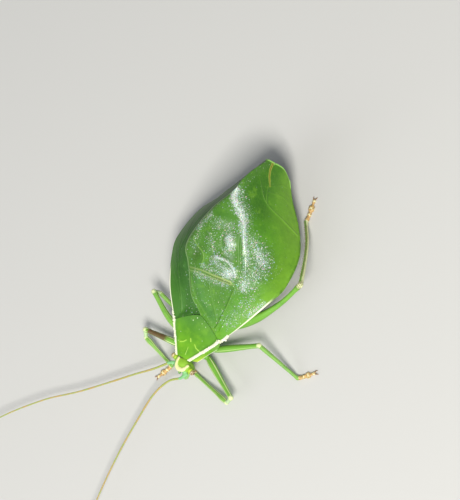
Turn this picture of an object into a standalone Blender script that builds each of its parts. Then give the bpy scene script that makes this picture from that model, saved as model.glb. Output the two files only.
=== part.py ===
# Corycoides paradoxus, a leaf-mimic bush katydid, as a still model at life size.
# +Y points to the head, +X to the animal's right, +Z up, and the feet stand on z = 0.
# Places are in millimetres as (x, back, z): back is the distance behind the front of the head.

from math import cos, exp, pi, radians, sin, sqrt
import random

import bmesh
import bpy
from mathutils import Matrix, Vector

MM = 0.001
GAP = 0.3  # between neighbouring pieces
UP = Vector((0, 0, 1))

# Wings: rows of (back, half width, height) along the low rim and along the dorsal fold
WING_THICK = 0.54
WING_RIM = [(6.8, 4.7, 5.8), (10.9, 7.4, 6.5), (15.7, 9.65, 6.3), (18.0, 10.35, 5.7),
            (23.4, 9.6, 4.4), (27.3, 7.1, 3.8), (31.0, 4.0, 4.4), (33.4, 2.75, 5.3), (34.8, 1.95, 6.1)]
WING_FOLD = [(7.0, 3.2, 5.85), (10.6, 3.8, 7.4), (15.5, 5.6, 9.9), (19.0, 4.85, 11.5),
             (24.5, 2.6, 13.3), (28.6, 0.0, 14.6), (31.4, 0.0, 13.2), (34.8, 0.0, 9.4)]
SUTURE = [(8.9, 1.5), (12.6, 3.45), (16.8, 5.3)]  # (back, reach over the mid-line), then the far fold
# The right wing's fold and upper edge, under the left wing: (back, fold x, fold z, edge x, edge z)
UNDER = [(7.0, 3.1, 5.15, -1.2, 4.95), (10.6, 3.7, 6.6, -1.2, 6.4), (15.5, 5.5, 8.98, -1.0, 9.4),
         (19.0, 4.75, 10.58, -0.8, 11.0), (24.5, 2.5, 12.36, 0.4, 12.6), (26.6, 1.6, 12.65, 0.75, 12.95),
         (28.6, 1.1, 12.4, 0.65, 13.05), (31.4, 1.0, 10.7, 0.62, 11.55), (34.8, 0.95, 7.6, 0.6, 8.1)]
WING_END = 34.8
TIP_ROUNDING = 1.5
TIP_POWER = 8
FLANK_BULGE = [(6.8, 0.05), (28.0, 0.05), (34.8, 0.09)]  # (back, share of the flank's own width)
DOME = 0.45  # of the dorsal field over its folds
DOME_FULL_AT = 4  # half width from which the dome has its full height
EDGE_ROLL = 1.3  # least width of the right wing's top, past its fold
FOLD_SMOOTHING = 8
BULGES = [(3.1, 17.0, 0.35, 1.3), (1.8, 20.7, 0.30, 1.5)]  # side, back, height, radius
VEIN_HALF = 0.32
VEIN_HEIGHT = 0.2
VEIN_SUNK_END = 0.05
FOLD_COLUMN = 10
# The file vein crosses the left wing's top: its row stands out, and slants to the left wing's fold
FILE_BACK = 15.25
FILE_HALF = 0.4
FILE_SLANT = 1.55
ROWS_BEFORE_FILE = [8.3, 9.6, 10.9, 12.2, 13.6]
ROWS_AFTER_FILE = 17
LAST_ROW = 34.4
# Side veins of the flank, each a run of (back, share of the way from rim to fold)
SIDE_VEINS = [[(10.4, 0.62), (12.6, 0.38), (15.2, 0.12)],
              [(14.0, 0.62), (17.0, 0.38), (20.0, 0.12)],
              [(18.0, 0.62), (21.0, 0.4), (23.8, 0.1)],
              [(26.3, 0.06), (27.5, 0.33), (28.6, 0.6)],
              [(28.8, 0.66), (30.6, 0.81), (32.4, 0.9)]]

# Pronotum: a saddle with raised keels
SADDLE_FRONT = 1.75
SADDLE_SHOULDER = 6.43
SADDLE_REAR = 8.8
SADDLE_KEEL = [(1.6, 1.1, 5.3), (4.0, 2.7, 5.55), (6.43, 4.28, 5.9), (8.8, 4.28, 6.75)]
SADDLE_HALF = 4.28  # its greatest half width
SADDLE_THICK = 0.56
SADDLE_CROWN = 0.15
LOBE_DEPTH = [(1.6, 1.3), (4.5, 1.95), (6.6, 2.2)]
LOBE_FLARE = [(1.6, 0.5), (4.5, 0.1), (6.6, 0.0)]
LOBE_SETBACK = 0.35  # of its front margin, at the lower edge
LOBE_SWELL = 0.12  # of its hind margin
KEEL_RAISE = 0.24
KEEL_BEAD = 0.09
SADDLE_ROWS = 19

# Trunk: rows of (back, half width, low, high)
THORAX = [(2.2, 0.6, 2.5, 3.85), (3.2, 1.1, 2.3, 4.2), (4.6, 1.75, 2.1, 4.55),
          (6.4, 2.45, 2.05, 4.95), (8.8, 2.75, 2.05, 4.95), (11.8, 2.4, 2.3, 5.9)]
ABDOMEN = [(12.15, 2.2, 2.4, 6.2), (16.0, 2.45, 3.0, 7.2), (20.0, 2.15, 4.2, 7.9),
           (24.0, 1.5, 5.8, 8.3), (26.3, 0.8, 7.0, 8.6)]
ABDOMEN_SEGMENTS = 9
SEGMENT_NECK = 0.9  # of its width, at the front of each segment
SEGMENT_FULL_AT = 0.8  # of its length
# The cerci and the plate under them, behind the abdomen's last row
CERCUS = [(0.55, -0.7, 7.9), (0.9, 0.5, 8.0), (0.45, 1.5, 8.1)]
CERCUS_SECTION = [(0.0, 0.3, 0.3), (0.7, 0.25, 0.25), (1.0, 0.14, 0.14)]
END_PLATE = [(0.0, -0.9, 7.2), (0.0, 0.2, 7.35), (0.0, 1.2, 7.6)]
END_PLATE_SECTION = [(0.0, 0.45, 0.3), (1.0, 0.3, 0.22)]

# Head
HEAD_CENTRE = (0.5, 0.85, 2.95)
HEAD_YAW = 14.6  # degrees, to the animal's right
HEAD_SIZE = (1.6, 1.0, 1.55)
SKULL_NARROWING = 0.3  # of its width, down to the mouth
EYE_OUT = 2.2
EYE_RISE = 1.05
EYE_SIZE = (0.38, 0.5, 0.5)
# Lumps of the head, as places (right, forward, up) from its centre and half sizes
CROWN = ((0, 0.02, 1.08), (1.12, 0.93, 0.42))
LIP = ((0, 0.88, -1.05), (0.5, 0.22, 0.55))
EYE_SEAT = ((1.06, 0.0, 0.93), (0.46, 0.52, 0.5))  # on both sides, as are the jaw and the palp
JAW = ((0.45, 0.62, -1.2), (0.36, 0.4, 0.42))
PALP = [(0.6, 0.55, -1.0), (0.95, 1.1, -0.95), (0.9, 1.5, -1.25), (0.7, 1.8, -1.3)]
PALP_SECTION = [(0.0, 0.26, 0.26), (1.0, 0.27, 0.27)]
CROWN_RIM = [(-1.02, -0.35), (-0.9, 0.3), (-0.55, 0.8), (0.0, 0.98), (0.55, 0.8), (0.9, 0.3), (1.1, -0.35)]
CROWN_RIM_RISE = 1.36
CROWN_RIM_HALF = 0.2

# Antennae: routes from the scape's root
SCAPE_SECTION = [(0.0, 0.3, 0.3), (0.6, 0.33, 0.33), (1.0, 0.28, 0.28)]
ANTENNA_LENGTHS = 3
ANTENNA_STEPS = 9  # in each length
ANTENNA_RADIUS = 0.27
ANTENNA_TIP_RADIUS = 0.12
ANTENNAE = {
    "left": {"scape": [(-0.71, -0.4, 3.7), (-0.17, -1.08, 3.65)],
             "route": [(0.03, -1.36, 3.6), (1.6, -2.4, 3.4), (2.8, -4.2, 3.1), (3.5, -6.2, 2.9),
                       (3.9, -9.2, 2.8), (4.4, -15.8, 2.7), (4.3, -23.2, 2.7), (3.2, -34.0, 3.0),
                       (0.6, -47.0, 3.6)]},
    "right": {"scape": [(2.0, 0.4, 3.75), (2.64, 0.2, 3.72)],
              "route": [(2.95, 0.02, 3.65), (5.1, -2.0, 3.4), (7.8, -4.1, 3.1), (10.4, -6.3, 2.9),
                        (15.5, -10.6, 2.8), (20.8, -14.6, 2.8), (27.0, -21.0, 2.9), (32.0, -29.0, 3.2),
                        (35.5, -38.0, 3.8)]},
}

# Legs: rows of (share of length, half width, half height), and routes in (x, back, z)
FRONT_FEMUR = [(0.0, 0.42, 0.45), (0.25, 0.48, 0.55), (0.8, 0.36, 0.4), (1.0, 0.42, 0.45)]
FRONT_TIBIA = [(0.0, 0.36, 0.38), (0.14, 0.42, 0.5), (0.32, 0.34, 0.36), (0.9, 0.3, 0.3), (1.0, 0.36, 0.36)]
MID_TIBIA = [(0.0, 0.38, 0.4), (0.1, 0.4, 0.44), (0.5, 0.34, 0.36), (0.9, 0.3, 0.3), (1.0, 0.36, 0.36)]
HIND_FEMUR = [(0.0, 0.5, 0.6), (0.12, 0.75, 0.95), (0.3, 0.7, 0.98), (0.6, 0.45, 0.55),
              (0.88, 0.36, 0.4), (1.0, 0.44, 0.48)]
HIND_TIBIA = [(0.0, 0.38, 0.4), (0.06, 0.4, 0.42), (0.3, 0.33, 0.36), (0.9, 0.29, 0.3), (1.0, 0.36, 0.36)]
TARSUS = [(0.0, 0.24, 0.24), (0.12, 0.34, 0.3), (0.3, 0.32, 0.3), (0.37, 0.24, 0.25), (0.46, 0.38, 0.31),
          (0.53, 0.26, 0.25), (0.64, 0.54, 0.31), (0.74, 0.48, 0.29), (0.8, 0.24, 0.25), (1.0, 0.26, 0.25)]
COXA_HALF = 0.42
HIND_COXA_HALF = 0.5
COXA_END_SHARE = 0.85  # of its half width, where the femur begins
FEMUR_CLEAR = 0.2  # from the coxa's end, past the gap
HIND_FEMUR_CLEAR = 0.3
SOLE_HEIGHT = 0.25
FOOT_BENDS = (0.3, 0.6)  # shares of the tarsus where it comes down to the floor
CLAW_BACK = 0.25  # where a claw leaves the toe, behind its tip
CLAW = [(0.45, 0.28, 0.0), (0.7, 0.34, -0.16)]  # ahead, aside and up from there
CLAW_SECTION = [(0.0, 0.13, 0.13), (1.0, 0.05, 0.05)]
LEGS = {
    "front_left": {"coxa": [(-0.85, 3.35, 1.5), (-1.95, 3.3, 1.95)],
                   "femur": [(-1.95, 3.3, 1.95), (-9.0, -0.45, 3.0)],
                   "shin": (-8.35, -1.4, 2.25), "ankle": (-0.6, 0.15, 0.5), "toe": (2.3, 1.3, SOLE_HEIGHT)},
    "front_right": {"coxa": [(1.05, 3.35, 1.5), (2.15, 3.3, 1.95)],
                    "femur": [(2.15, 3.3, 1.95), (9.55, 2.85, 3.3)],
                    "shin": (9.15, 1.75, 2.6), "ankle": (4.0, -0.4, 0.5), "toe": (5.4, -2.9, SOLE_HEIGHT)},
    "mid_left": {"coxa": [(-1.2, 5.2, 1.4), (-2.45, 5.0, 2.0)],
                 "femur": [(-2.45, 5.0, 2.0), (-10.0, 8.7, 4.2)],
                 "ankle": (-16.5, 6.8, 0.55), "toe": (-18.5, 8.6, SOLE_HEIGHT)},
    "mid_right": {"coxa": [(1.2, 5.1, 1.4), (2.45, 4.9, 2.0)],
                  "femur": [(2.45, 4.9, 2.0), (6.3, 6.0, 3.3), (10.4, 8.8, 4.7)],
                  "shin": (9.9, 9.0, 3.6), "ankle": (4.6, 6.9, 0.55), "toe": (5.4, 9.9, SOLE_HEIGHT)},
    "hind_left": {"coxa": [(-1.4, 9.2, 1.4), (-2.8, 9.0, 2.0)],
                  "femur": [(-2.8, 9.0, 2.0), (-7.5, 12.4, 3.9), (-10.75, 16.1, 5.35), (-13.3, 19.8, 7.4)],
                  "tibia": [(-13.3, 19.8, 7.4), (-10.55, 23.75, 4.35), (-8.6, 26.2, 2.5), (-6.0, 28.8, 0.55)],
                  "toe": (-5.5, 32.4, SOLE_HEIGHT)},
    "hind_right": {"coxa": [(1.4, 9.2, 1.4), (2.9, 9.0, 2.0)],
                   "femur": [(2.9, 9.0, 2.0), (5.3, 13.0, 4.3), (4.6, 17.5, 7.2), (3.3, 22.0, 9.9)],
                   "tibia": [(3.3, 22.0, 9.9), (5.0, 30.4, 0.55)],
                   "toe": (4.4, 33.4, SOLE_HEIGHT)},
}
SPINES_PER_ROW = {"front": 5, "mid": 6, "hind": 12}
SPINE_FIRST = 0.16  # share of the tibia
SPINE_SPAN = 0.76
SPINE_LENGTH = 0.42
SPINE_UNEVEN = (0.85, 1.1)
SPINE_RADIUS = 0.13
SPINE_LEAN = (0.75, 0.65, 0.5)  # aside, up and along the tibia
SPINE_SEED = 7

# Colour, roughness
FINISHES = {
    "wing_green": ((0.07, 0.27, 0.035), 0.42),
    "plate_green": ((0.17, 0.48, 0.05), 0.4),
    "flesh_green": ((0.16, 0.42, 0.08), 0.5),
    "leg_green": ((0.14, 0.42, 0.1), 0.45),
    "foot_tan": ((0.62, 0.36, 0.16), 0.5),
    "feeler_olive": ((0.4, 0.34, 0.12), 0.5),
    "eye_brown": ((0.3, 0.17, 0.08), 0.2),
}


def at(x, back, z):
    return Vector((x, -back, z))


# Smooth values at t, from rows of (t, value, value...)
def smooth(rows, t):
    t = min(max(t, rows[0][0]), rows[-1][0])
    i = 0
    while i < len(rows) - 2 and t > rows[i + 1][0]:
        i += 1
    a, b = rows[i], rows[i + 1]
    before = rows[max(i - 1, 0)]
    after = rows[min(i + 2, len(rows) - 1)]
    span = b[0] - a[0]
    f = (t - a[0]) / span
    values = []
    for k in range(1, len(a)):
        leave = span * (b[k] - before[k]) / (b[0] - before[0])
        arrive = span * (after[k] - a[k]) / (after[0] - a[0])
        values.append(a[k] * (2 * f ** 3 - 3 * f ** 2 + 1) + leave * (f ** 3 - 2 * f ** 2 + f)
                      + b[k] * (3 * f ** 2 - 2 * f ** 3) + arrive * (f ** 3 - f ** 2))
    return values


def ease(low, high, t):
    f = min(max((t - low) / (high - low), 0.0), 1.0)
    return f * f * (3 - 2 * f)


# A smooth route through points, read by distance along it
def route_rows(points):
    rows = [(0.0, *points[0])]
    for a, b in zip(points, points[1:]):
        rows.append((rows[-1][0] + (b - a).length, *b))
    return rows


def along(rows, distance):
    return Vector(smooth(rows, distance))


def finish(name):
    colour, roughness = FINISHES[name]
    material = bpy.data.materials.get(name) or bpy.data.materials.new(name)
    material.use_nodes = True
    shader = material.node_tree.nodes["Principled BSDF"]
    shader.inputs["Base Color"].default_value = (*colour, 1)
    shader.inputs["Roughness"].default_value = roughness
    shader.inputs["Metallic"].default_value = 0.0
    return material


# Turns a bmesh in millimetres into a node whose origin is its root
def make_node(name, bm, finish_name, root, carrier):
    bmesh.ops.recalc_face_normals(bm, faces=bm.faces)
    for vert in bm.verts:
        vert.co = (vert.co - root) * MM
    mesh = bpy.data.meshes.new(name)
    bm.to_mesh(mesh)
    bm.free()
    mesh.shade_smooth()
    mesh.set_sharp_from_angle(angle=radians(40))
    mesh.materials.append(finish(finish_name))
    node = bpy.data.objects.new(name, mesh)
    node.location = root * MM
    node.parent = carrier
    bpy.context.scene.collection.objects.link(node)
    return node


# Keeps the largest closed surface of a mesh
def keep_largest(mesh):
    bm = bmesh.new()
    bm.from_mesh(mesh)
    bmesh.ops.triangulate(bm, faces=bm.faces)
    left = set(bm.verts)
    shells = []
    while left:
        shell = {left.pop()}
        edge = list(shell)
        while edge:
            vert = edge.pop()
            for link in vert.link_edges:
                other = link.other_vert(vert)
                if other not in shell:
                    shell.add(other)
                    left.discard(other)
                    edge.append(other)
        shells.append(shell)
    largest = max(shells, key=len)
    bmesh.ops.delete(bm, geom=[v for v in bm.verts if v not in largest], context="VERTS")
    bm.to_mesh(mesh)
    bm.free()


# Fuses pieces, each a bmesh in millimetres, to a node by one union
def fuse(node, pieces):
    group = bpy.data.collections.new(node.name + "_pieces")
    bpy.context.scene.collection.children.link(group)
    for number, piece in enumerate(pieces):
        bmesh.ops.recalc_face_normals(piece, faces=piece.faces)
        for vert in piece.verts:
            vert.co = vert.co * MM
        mesh = bpy.data.meshes.new(f"{node.name}_piece_{number}")
        piece.to_mesh(mesh)
        piece.free()
        part = bpy.data.objects.new(mesh.name, mesh)
        part.parent = node.parent
        part.hide_render = True
        group.objects.link(part)
    union = node.modifiers.new("fuse", "BOOLEAN")
    union.operation = "UNION"
    union.operand_type = "COLLECTION"
    union.collection = group
    union.solver = "EXACT"
    bpy.context.view_layer.update()
    graph = bpy.context.evaluated_depsgraph_get()
    fused = bpy.data.meshes.new_from_object(node.evaluated_get(graph))
    node.modifiers.remove(union)
    plain = node.data
    node.data = fused
    bpy.data.meshes.remove(plain)
    for part in list(group.objects):
        bpy.data.objects.remove(part)
    bpy.data.collections.remove(group)
    keep_largest(node.data)
    fused.name = node.name


# Joins rings of points into a closed tube with flat ends
def tube(rings):
    bm = bmesh.new()
    loops = [[bm.verts.new(point) for point in ring] for ring in rings]
    for a, b in zip(loops, loops[1:]):
        count = len(a)
        for k in range(count):
            n = (k + 1) % count
            bm.faces.new((a[k], a[n], b[n], b[k]))
    bm.faces.new(list(reversed(loops[0])))
    bm.faces.new(loops[-1])
    return bm


def ring(centre, side, lift, half_width, half_height, count):
    turns = [2 * pi * (k + 0.5) / count for k in range(count)]
    return [centre + side * (half_width * sin(a)) + lift * (half_height * cos(a)) for a in turns]


# A limb of oval section along a smooth route, with domed ends
def limb(points, profile, sides=8, rings=8, up=UP):
    rows = route_rows(points)
    length = rows[-1][0]
    dome_a = min(profile[0][1] * 0.8, length * 0.2)
    dome_b = min(profile[-1][1] * 0.8, length * 0.2)
    inner = [dome_a + (length - dome_a - dome_b) * k / (rings - 1) for k in range(rings)]
    stops = [0.0, dome_a * 0.35] + inner + [length - dome_b * 0.35, length]
    shrink = [0.55, 0.86] + [1.0] * rings + [0.86, 0.55]
    loops = []
    for stop, factor in zip(stops, shrink):
        ahead = along(rows, min(stop + 0.05, length))
        behind = along(rows, max(stop - 0.05, 0.0))
        run = (ahead - behind).normalized()
        side = run.cross(up).normalized()
        lift = side.cross(run)
        half_width, half_height = smooth(profile, stop / length)
        loops.append(ring(along(rows, stop), side, lift, half_width * factor, half_height * factor, sides))
    return tube(loops)


def ball(centre, size, around=12, levels=8):
    bm = bmesh.new()
    bmesh.ops.create_uvsphere(bm, u_segments=around, v_segments=levels, radius=1)
    bmesh.ops.scale(bm, verts=bm.verts, vec=size)
    bmesh.ops.translate(bm, verts=bm.verts, vec=centre)
    return bm


def spike(foot, tip, radius):
    run = (tip - foot).normalized()
    side = run.orthogonal().normalized()
    lift = run.cross(side)
    base = ring(foot - run * radius, side, lift, radius, radius, 4)
    bm = bmesh.new()
    corners = [bm.verts.new(point) for point in base]
    point = bm.verts.new(tip)
    for k in range(4):
        bm.faces.new((corners[k], corners[(k + 1) % 4], point))
    bm.faces.new(list(reversed(corners)))
    return bm


# A thin closed sheet between two grids of points, split alike on both faces
def sheet(outer, inner):
    bm = bmesh.new()
    tops = [[bm.verts.new(point) for point in row] for row in outer]
    bottoms = [[bm.verts.new(point) for point in row] for row in inner]
    last_row, last_column = len(outer) - 1, len(outer[0]) - 1
    for i in range(last_row):
        for j in range(last_column):
            for grid in (tops, bottoms):
                bm.faces.new((grid[i][j], grid[i + 1][j], grid[i + 1][j + 1]))
                bm.faces.new((grid[i][j], grid[i + 1][j + 1], grid[i][j + 1]))
    for i in range(last_row):
        for j in (0, last_column):
            bm.faces.new((tops[i][j], tops[i + 1][j], bottoms[i + 1][j], bottoms[i][j]))
    for j in range(last_column):
        for i in (0, last_row):
            bm.faces.new((tops[i][j], tops[i][j + 1], bottoms[i][j + 1], bottoms[i][j]))
    return bm


# One tegmen: side is -1 on the left, whose wing lies over the other, and 1 on the right
class Wing:
    def __init__(self, side):
        self.side = side
        self.over = side < 0

    # Outline across the body from the rim to the sutural edge, as (sideways, height) points
    def section(self, back):
        rim = Vector(smooth(WING_RIM, back))
        fold_x, fold_z = smooth(WING_FOLD, back)
        fold_x = max(fold_x, 0.0)
        if self.over:
            fold = Vector((fold_x, fold_z))
            reach = fold_x if back > SUTURE[-1][0] else min(smooth(SUTURE, back)[0], fold_x)
            dome = DOME * min(1.0, fold_x / DOME_FULL_AT) * (0.4 + 0.6 * ease(9.0, 13.0, back))
        else:
            *fold, edge_x, edge_z = smooth(UNDER, back)
            fold = Vector(fold)
        run = fold - rim
        outward = Vector((run.y, -run.x)) * (2 * smooth(FLANK_BULGE, back)[0])
        flank_steps, top_steps = 26, 22
        points = []
        for k in range(flank_steps):
            f = k / flank_steps
            points.append(rim + run * f + outward * (2 * f * (1 - f)))
        for k in range(top_steps + 1):
            f = k / top_steps
            if self.over:
                x = fold.x - (fold.x + reach) * f
                rise = dome * (1 - (x / fold_x) ** 2) if fold_x > 0.3 else 0.0
                points.append(Vector((x, fold.y + rise)))
            else:
                rise = DOME * 1.3 * f * (1 - f) * min(1.0, (fold.x - edge_x) / 5)
                points.append(fold.lerp(Vector((edge_x, edge_z)), f) + Vector((0, rise)))
        return self.even(points, flank_steps)

    # Evens out the spacing and rounds the fold; gives the points and the fold's share
    def even(self, points, corner):
        reach = [0.0]
        for a, b in zip(points, points[1:]):
            reach.append(reach[-1] + (b - a).length)
        total = reach[-1]
        count = 60
        spread = []
        k = 0
        for n in range(count + 1):
            target = total * n / count
            while k < len(reach) - 2 and reach[k + 1] < target:
                k += 1
            step = max(reach[k + 1] - reach[k], 1e-9)
            spread.append(points[k].lerp(points[k + 1], (target - reach[k]) / step))
        for _ in range(FOLD_SMOOTHING):
            spread = ([spread[0]] + [(a + 2 * b + c) / 4 for a, b, c in zip(spread, spread[1:], spread[2:])]
                      + [spread[-1]])
        share = min(reach[corner] / total, 1 - EDGE_ROLL / total)
        return spread, share, total

    def point(self, back, share):
        spread, _, _ = self.section(back)
        place = min(max(share, 0.0), 1.0) * (len(spread) - 1)
        k = min(int(place), len(spread) - 2)
        spot = spread[k].lerp(spread[k + 1], place - k)
        height = spot.y
        if self.over:
            for middle, bulge_back, rise, radius in BULGES:
                away = (spot.x - middle) ** 2 + (back - bulge_back) ** 2
                height += rise * exp(-away / radius ** 2)
        return at(self.side * spot.x, back, height)

    def normal(self, back, share):
        reach = 0.02
        across = self.point(back, share + reach) - self.point(back, share - reach)
        lengthwise = self.point(back + 0.3, share) - self.point(back - 0.3, share)
        return (lengthwise.cross(across) * -self.side).normalized()

    # Columns as (share of the section, whether a vein runs there), always in the same order
    def columns(self, back):
        _, fold, total = self.section(back)
        side_half = min(VEIN_HALF / (fold * total), 0.08)
        top_half = min(VEIN_HALF / ((1 - fold) * total), 0.12)
        flank = [(0.0, False), (0.1, False), (0.24, False), (0.38, False), (0.52, False),
                 (0.64 - side_half, False), (0.64, True), (0.64 + side_half, False), (0.82, False),
                 (1 - side_half, False), (1.0, self.over)]
        top = [(top_half, False), (0.18, False), (0.33, False), (0.5 - top_half, False), (0.5, self.over),
               (0.5 + top_half, False), (0.67, False), (0.84, False), (1.0, False)]
        columns = [(fold * f, vein) for f, vein in flank]
        return columns + [(fold + (1 - fold) * f, vein) for f, vein in top]

    # How far back each point of the grid lies: the ends follow the pronotum and the rounded tip
    def back_of(self, row, rows, share, start):
        reach = row / (len(rows) - 1)
        back = rows[row]
        if self.over:
            near_file = exp(-((row - len(ROWS_BEFORE_FILE) - 1) / 4) ** 2)
            back += FILE_SLANT * (0.69 - share) * near_file
        front = start + GAP + 0.02 + 0.13 * (1 - share)
        end = WING_END - TIP_ROUNDING * (1 - share) ** TIP_POWER
        back += (front - rows[0]) * max(0.0, 1 - reach / 0.22) ** 2
        back += (end - LAST_ROW) * max(0.0, 1 - (1 - reach) / 0.15) ** 2
        return back

    def node(self, name, carrier):
        rows = ROWS_BEFORE_FILE + [FILE_BACK - FILE_HALF, FILE_BACK, FILE_BACK + FILE_HALF]
        step = (LAST_ROW - rows[-1]) / ROWS_AFTER_FILE
        rows += [rows[-1] + step * (k + 1) for k in range(ROWS_AFTER_FILE)]
        outer, inner = [], []
        starts = [saddle_rear(abs(self.point(7.2, share).x)) for share, _ in self.columns(7.2)]
        middle_shares = [share for share, _ in self.columns(18.0)]
        for row in range(len(rows)):
            tops, bottoms = [], []
            for column, start in enumerate(starts):
                back = self.back_of(row, rows, middle_shares[column], start)
                share, veined = self.columns(back)[column]
                spot = self.point(back, share)
                out = self.normal(back, share)
                lift = VEIN_HEIGHT if veined else 0.0
                if column >= FOLD_COLUMN:
                    lift *= min(1.0, max(smooth(WING_FOLD, back)[0], 0.0) / 2.5)
                on_top = FOLD_COLUMN + 1 < column < len(starts) - 1
                if self.over and on_top and row == len(ROWS_BEFORE_FILE) + 1:
                    lift = VEIN_HEIGHT
                tops.append(spot + out * lift)
                bottoms.append(spot - out * WING_THICK)
            outer.append(tops)
            inner.append(bottoms)
        node = make_node(name, sheet(outer, inner), "wing_green", at(self.side * 2.5, 9.0, 6.0), carrier)
        fuse(node, [self.vein(route) for route in SIDE_VEINS])
        return node

    # A low ridge half sunk in the membrane
    def vein(self, route):
        rows = [(0.0, *route[0])]
        for a, b in zip(route, route[1:]):
            rows.append((rows[-1][0] + 1.0, *b))
        steps = 5 * (len(route) - 1)
        loops = []
        for k in range(steps + 1):
            back, flank_share = smooth(rows, rows[-1][0] * k / steps)
            spots = []
            for nudge in (-0.02, 0.02):
                near_back, near_share = smooth(rows, rows[-1][0] * k / steps + nudge)
                spots.append(self.point(near_back, near_share * self.section(near_back)[1]))
            share = flank_share * self.section(back)[1]
            middle = self.point(back, share)
            out = self.normal(back, share)
            aside = (spots[1] - spots[0]).cross(out).normalized() * VEIN_HALF * 0.8
            sunk = out * (WING_THICK * 0.45)
            crest = out * (VEIN_HEIGHT * min(1.0, 3 * k / steps, 3 - 3 * k / steps) - VEIN_SUNK_END)
            loops.append([middle - aside - sunk, middle + crest, middle + aside - sunk])
        return tube(loops)


# The pronotum's hind margin at a distance from the mid-line: a blunt, rounded point
def saddle_rear(aside):
    share = min(aside / SADDLE_HALF, 1.0)
    return SADDLE_REAR - (SADDLE_REAR - SADDLE_SHOULDER) * share ** 1.35


# The trunk's mid-line turns a little to the right in front
def mid_line(back):
    return 0.068 * max(SADDLE_SHOULDER - back, 0.0)


def pronotum(carrier):
    # Columns: lobe margin to keel, the disc, and the other lobe mirrored
    lobe = [1.0, 0.72, 0.38]
    disc = [-1.0, -0.9, -0.6, -0.3, 0.0, 0.3, 0.6, 0.9, 1.0]
    outer, inner = [], []
    for row in range(SADDLE_ROWS):
        share = row / (SADDLE_ROWS - 1)
        bead = KEEL_RAISE + KEEL_BEAD * (1 if row % 2 else -1)
        tops, bottoms = [], []
        columns = [("lobe", -1, d) for d in lobe] + [("disc", 0, f) for f in disc]
        columns += [("lobe", 1, d) for d in reversed(lobe)]
        for kind, side, value in columns:
            if kind == "disc":
                start = SADDLE_FRONT
                end = saddle_rear(abs(value) * SADDLE_HALF)
                back = start + (end - start) * share
                half, height = smooth(SADDLE_KEEL, back)
                half = min(half, SADDLE_HALF)
                middle = mid_line(back)
                rise = SADDLE_CROWN * (1 - value * value)
                keel = bead if abs(value) == 1.0 else 0.0
                tops.append(at(middle + half * value, back, height + rise + keel))
                bottoms.append(at(middle + (half - SADDLE_THICK) * value, back, height + rise - SADDLE_THICK))
            else:
                start = SADDLE_FRONT + LOBE_SETBACK * value
                end = SADDLE_SHOULDER + LOBE_SWELL * sin(pi * value)
                back = start + (end - start) * share
                half, height = smooth(SADDLE_KEEL, back)
                half = min(half, SADDLE_HALF)
                depth = smooth(LOBE_DEPTH, back)[0]
                flare = smooth(LOBE_FLARE, back)[0] * value
                middle = mid_line(back)
                tops.append(at(middle + side * (half + flare), back, height - depth * value))
                inside = height - SADDLE_THICK - (depth - SADDLE_THICK) * value
                bottoms.append(at(middle + side * (half + flare - SADDLE_THICK), back, inside))
        outer.append(tops)
        inner.append(bottoms)
    return make_node("pronotum", sheet(outer, inner), "plate_green", at(0, SADDLE_FRONT, 5.0), carrier)


# A trunk piece from rows of (back, half width, low, high)
def trunk(rows, backs, swell, sides=14):
    loops = []
    for back, factor in zip(backs, swell):
        half, low, high = smooth(rows, back)
        middle = at(mid_line(back), back, (low + high) / 2)
        loops.append(ring(middle, Vector((1, 0, 0)), UP, half * factor, (high - low) / 2 * factor, sides))
    return tube(loops)


def thorax(carrier):
    first, last, steps = THORAX[0][0], THORAX[-1][0], 10
    backs = [first + (last - first) * k / steps for k in range(steps + 1)]
    swell = [0.85] + [1.0] * (steps - 1) + [0.93]
    return make_node("thorax", trunk(THORAX, backs, swell), "flesh_green", at(0, 7, 3), carrier)


def abdomen(carrier):
    first, last = ABDOMEN[0][0], ABDOMEN[-1][0]
    length = (last - first) / ABDOMEN_SEGMENTS
    backs, swell = [], []
    for number in range(ABDOMEN_SEGMENTS):
        start = first + length * number
        backs += [start, start + length * SEGMENT_FULL_AT]
        swell += [SEGMENT_NECK, 1.0]
    backs.append(last)
    swell.append(0.7)
    node = make_node("abdomen", trunk(ABDOMEN, backs, swell), "flesh_green", at(0, first, 4), carrier)
    pieces = []
    for side in (-1, 1):
        cercus = [at(side * x, last + behind, z) for x, behind, z in CERCUS]
        pieces.append(limb(cercus, CERCUS_SECTION, 6, 4))
    plate = [at(x, last + behind, z) for x, behind, z in END_PLATE]
    pieces.append(limb(plate, END_PLATE_SECTION, 6, 4))
    fuse(node, pieces)
    return node


# Head places are (right, forward, up) from its centre, before the head is turned
def head_spot(right, forward, rise):
    turn = radians(HEAD_YAW)
    x = right * cos(turn) + forward * sin(turn)
    y = forward * cos(turn) - right * sin(turn)
    return at(*HEAD_CENTRE) + Vector((x, y, rise))


def turn_head(bm):
    bmesh.ops.rotate(bm, verts=bm.verts, cent=(0, 0, 0), matrix=Matrix.Rotation(-radians(HEAD_YAW), 3, "Z"))
    bmesh.ops.translate(bm, verts=bm.verts, vec=at(*HEAD_CENTRE))
    return bm


def head(carrier):
    skull = ball((0, 0, 0), HEAD_SIZE, 16, 12)
    for vert in skull.verts:
        below = max(0.0, -vert.co.z / HEAD_SIZE[2])
        vert.co.x *= 1 - SKULL_NARROWING * below ** 1.5
    node = make_node("head", turn_head(skull), "flesh_green", at(*HEAD_CENTRE), carrier)
    pieces = [turn_head(ball(*CROWN, 14, 8)), turn_head(ball(*LIP, 8, 6))]
    for side in (-1, 1):
        for (right, forward, rise), size in (EYE_SEAT, JAW):
            pieces.append(turn_head(ball((side * right, forward, rise), size, 8, 6)))
        palp = [head_spot(side * right, forward, rise) for right, forward, rise in PALP]
        pieces.append(limb(palp, PALP_SECTION, 6, 5))
    route = [head_spot(right, forward, CROWN_RIM_RISE) for right, forward in CROWN_RIM]
    half = CROWN_RIM_HALF
    pieces.append(limb(route, [(0.0, half, half), (1.0, half, half)], 6, 14))
    fuse(node, pieces)
    return node


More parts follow.
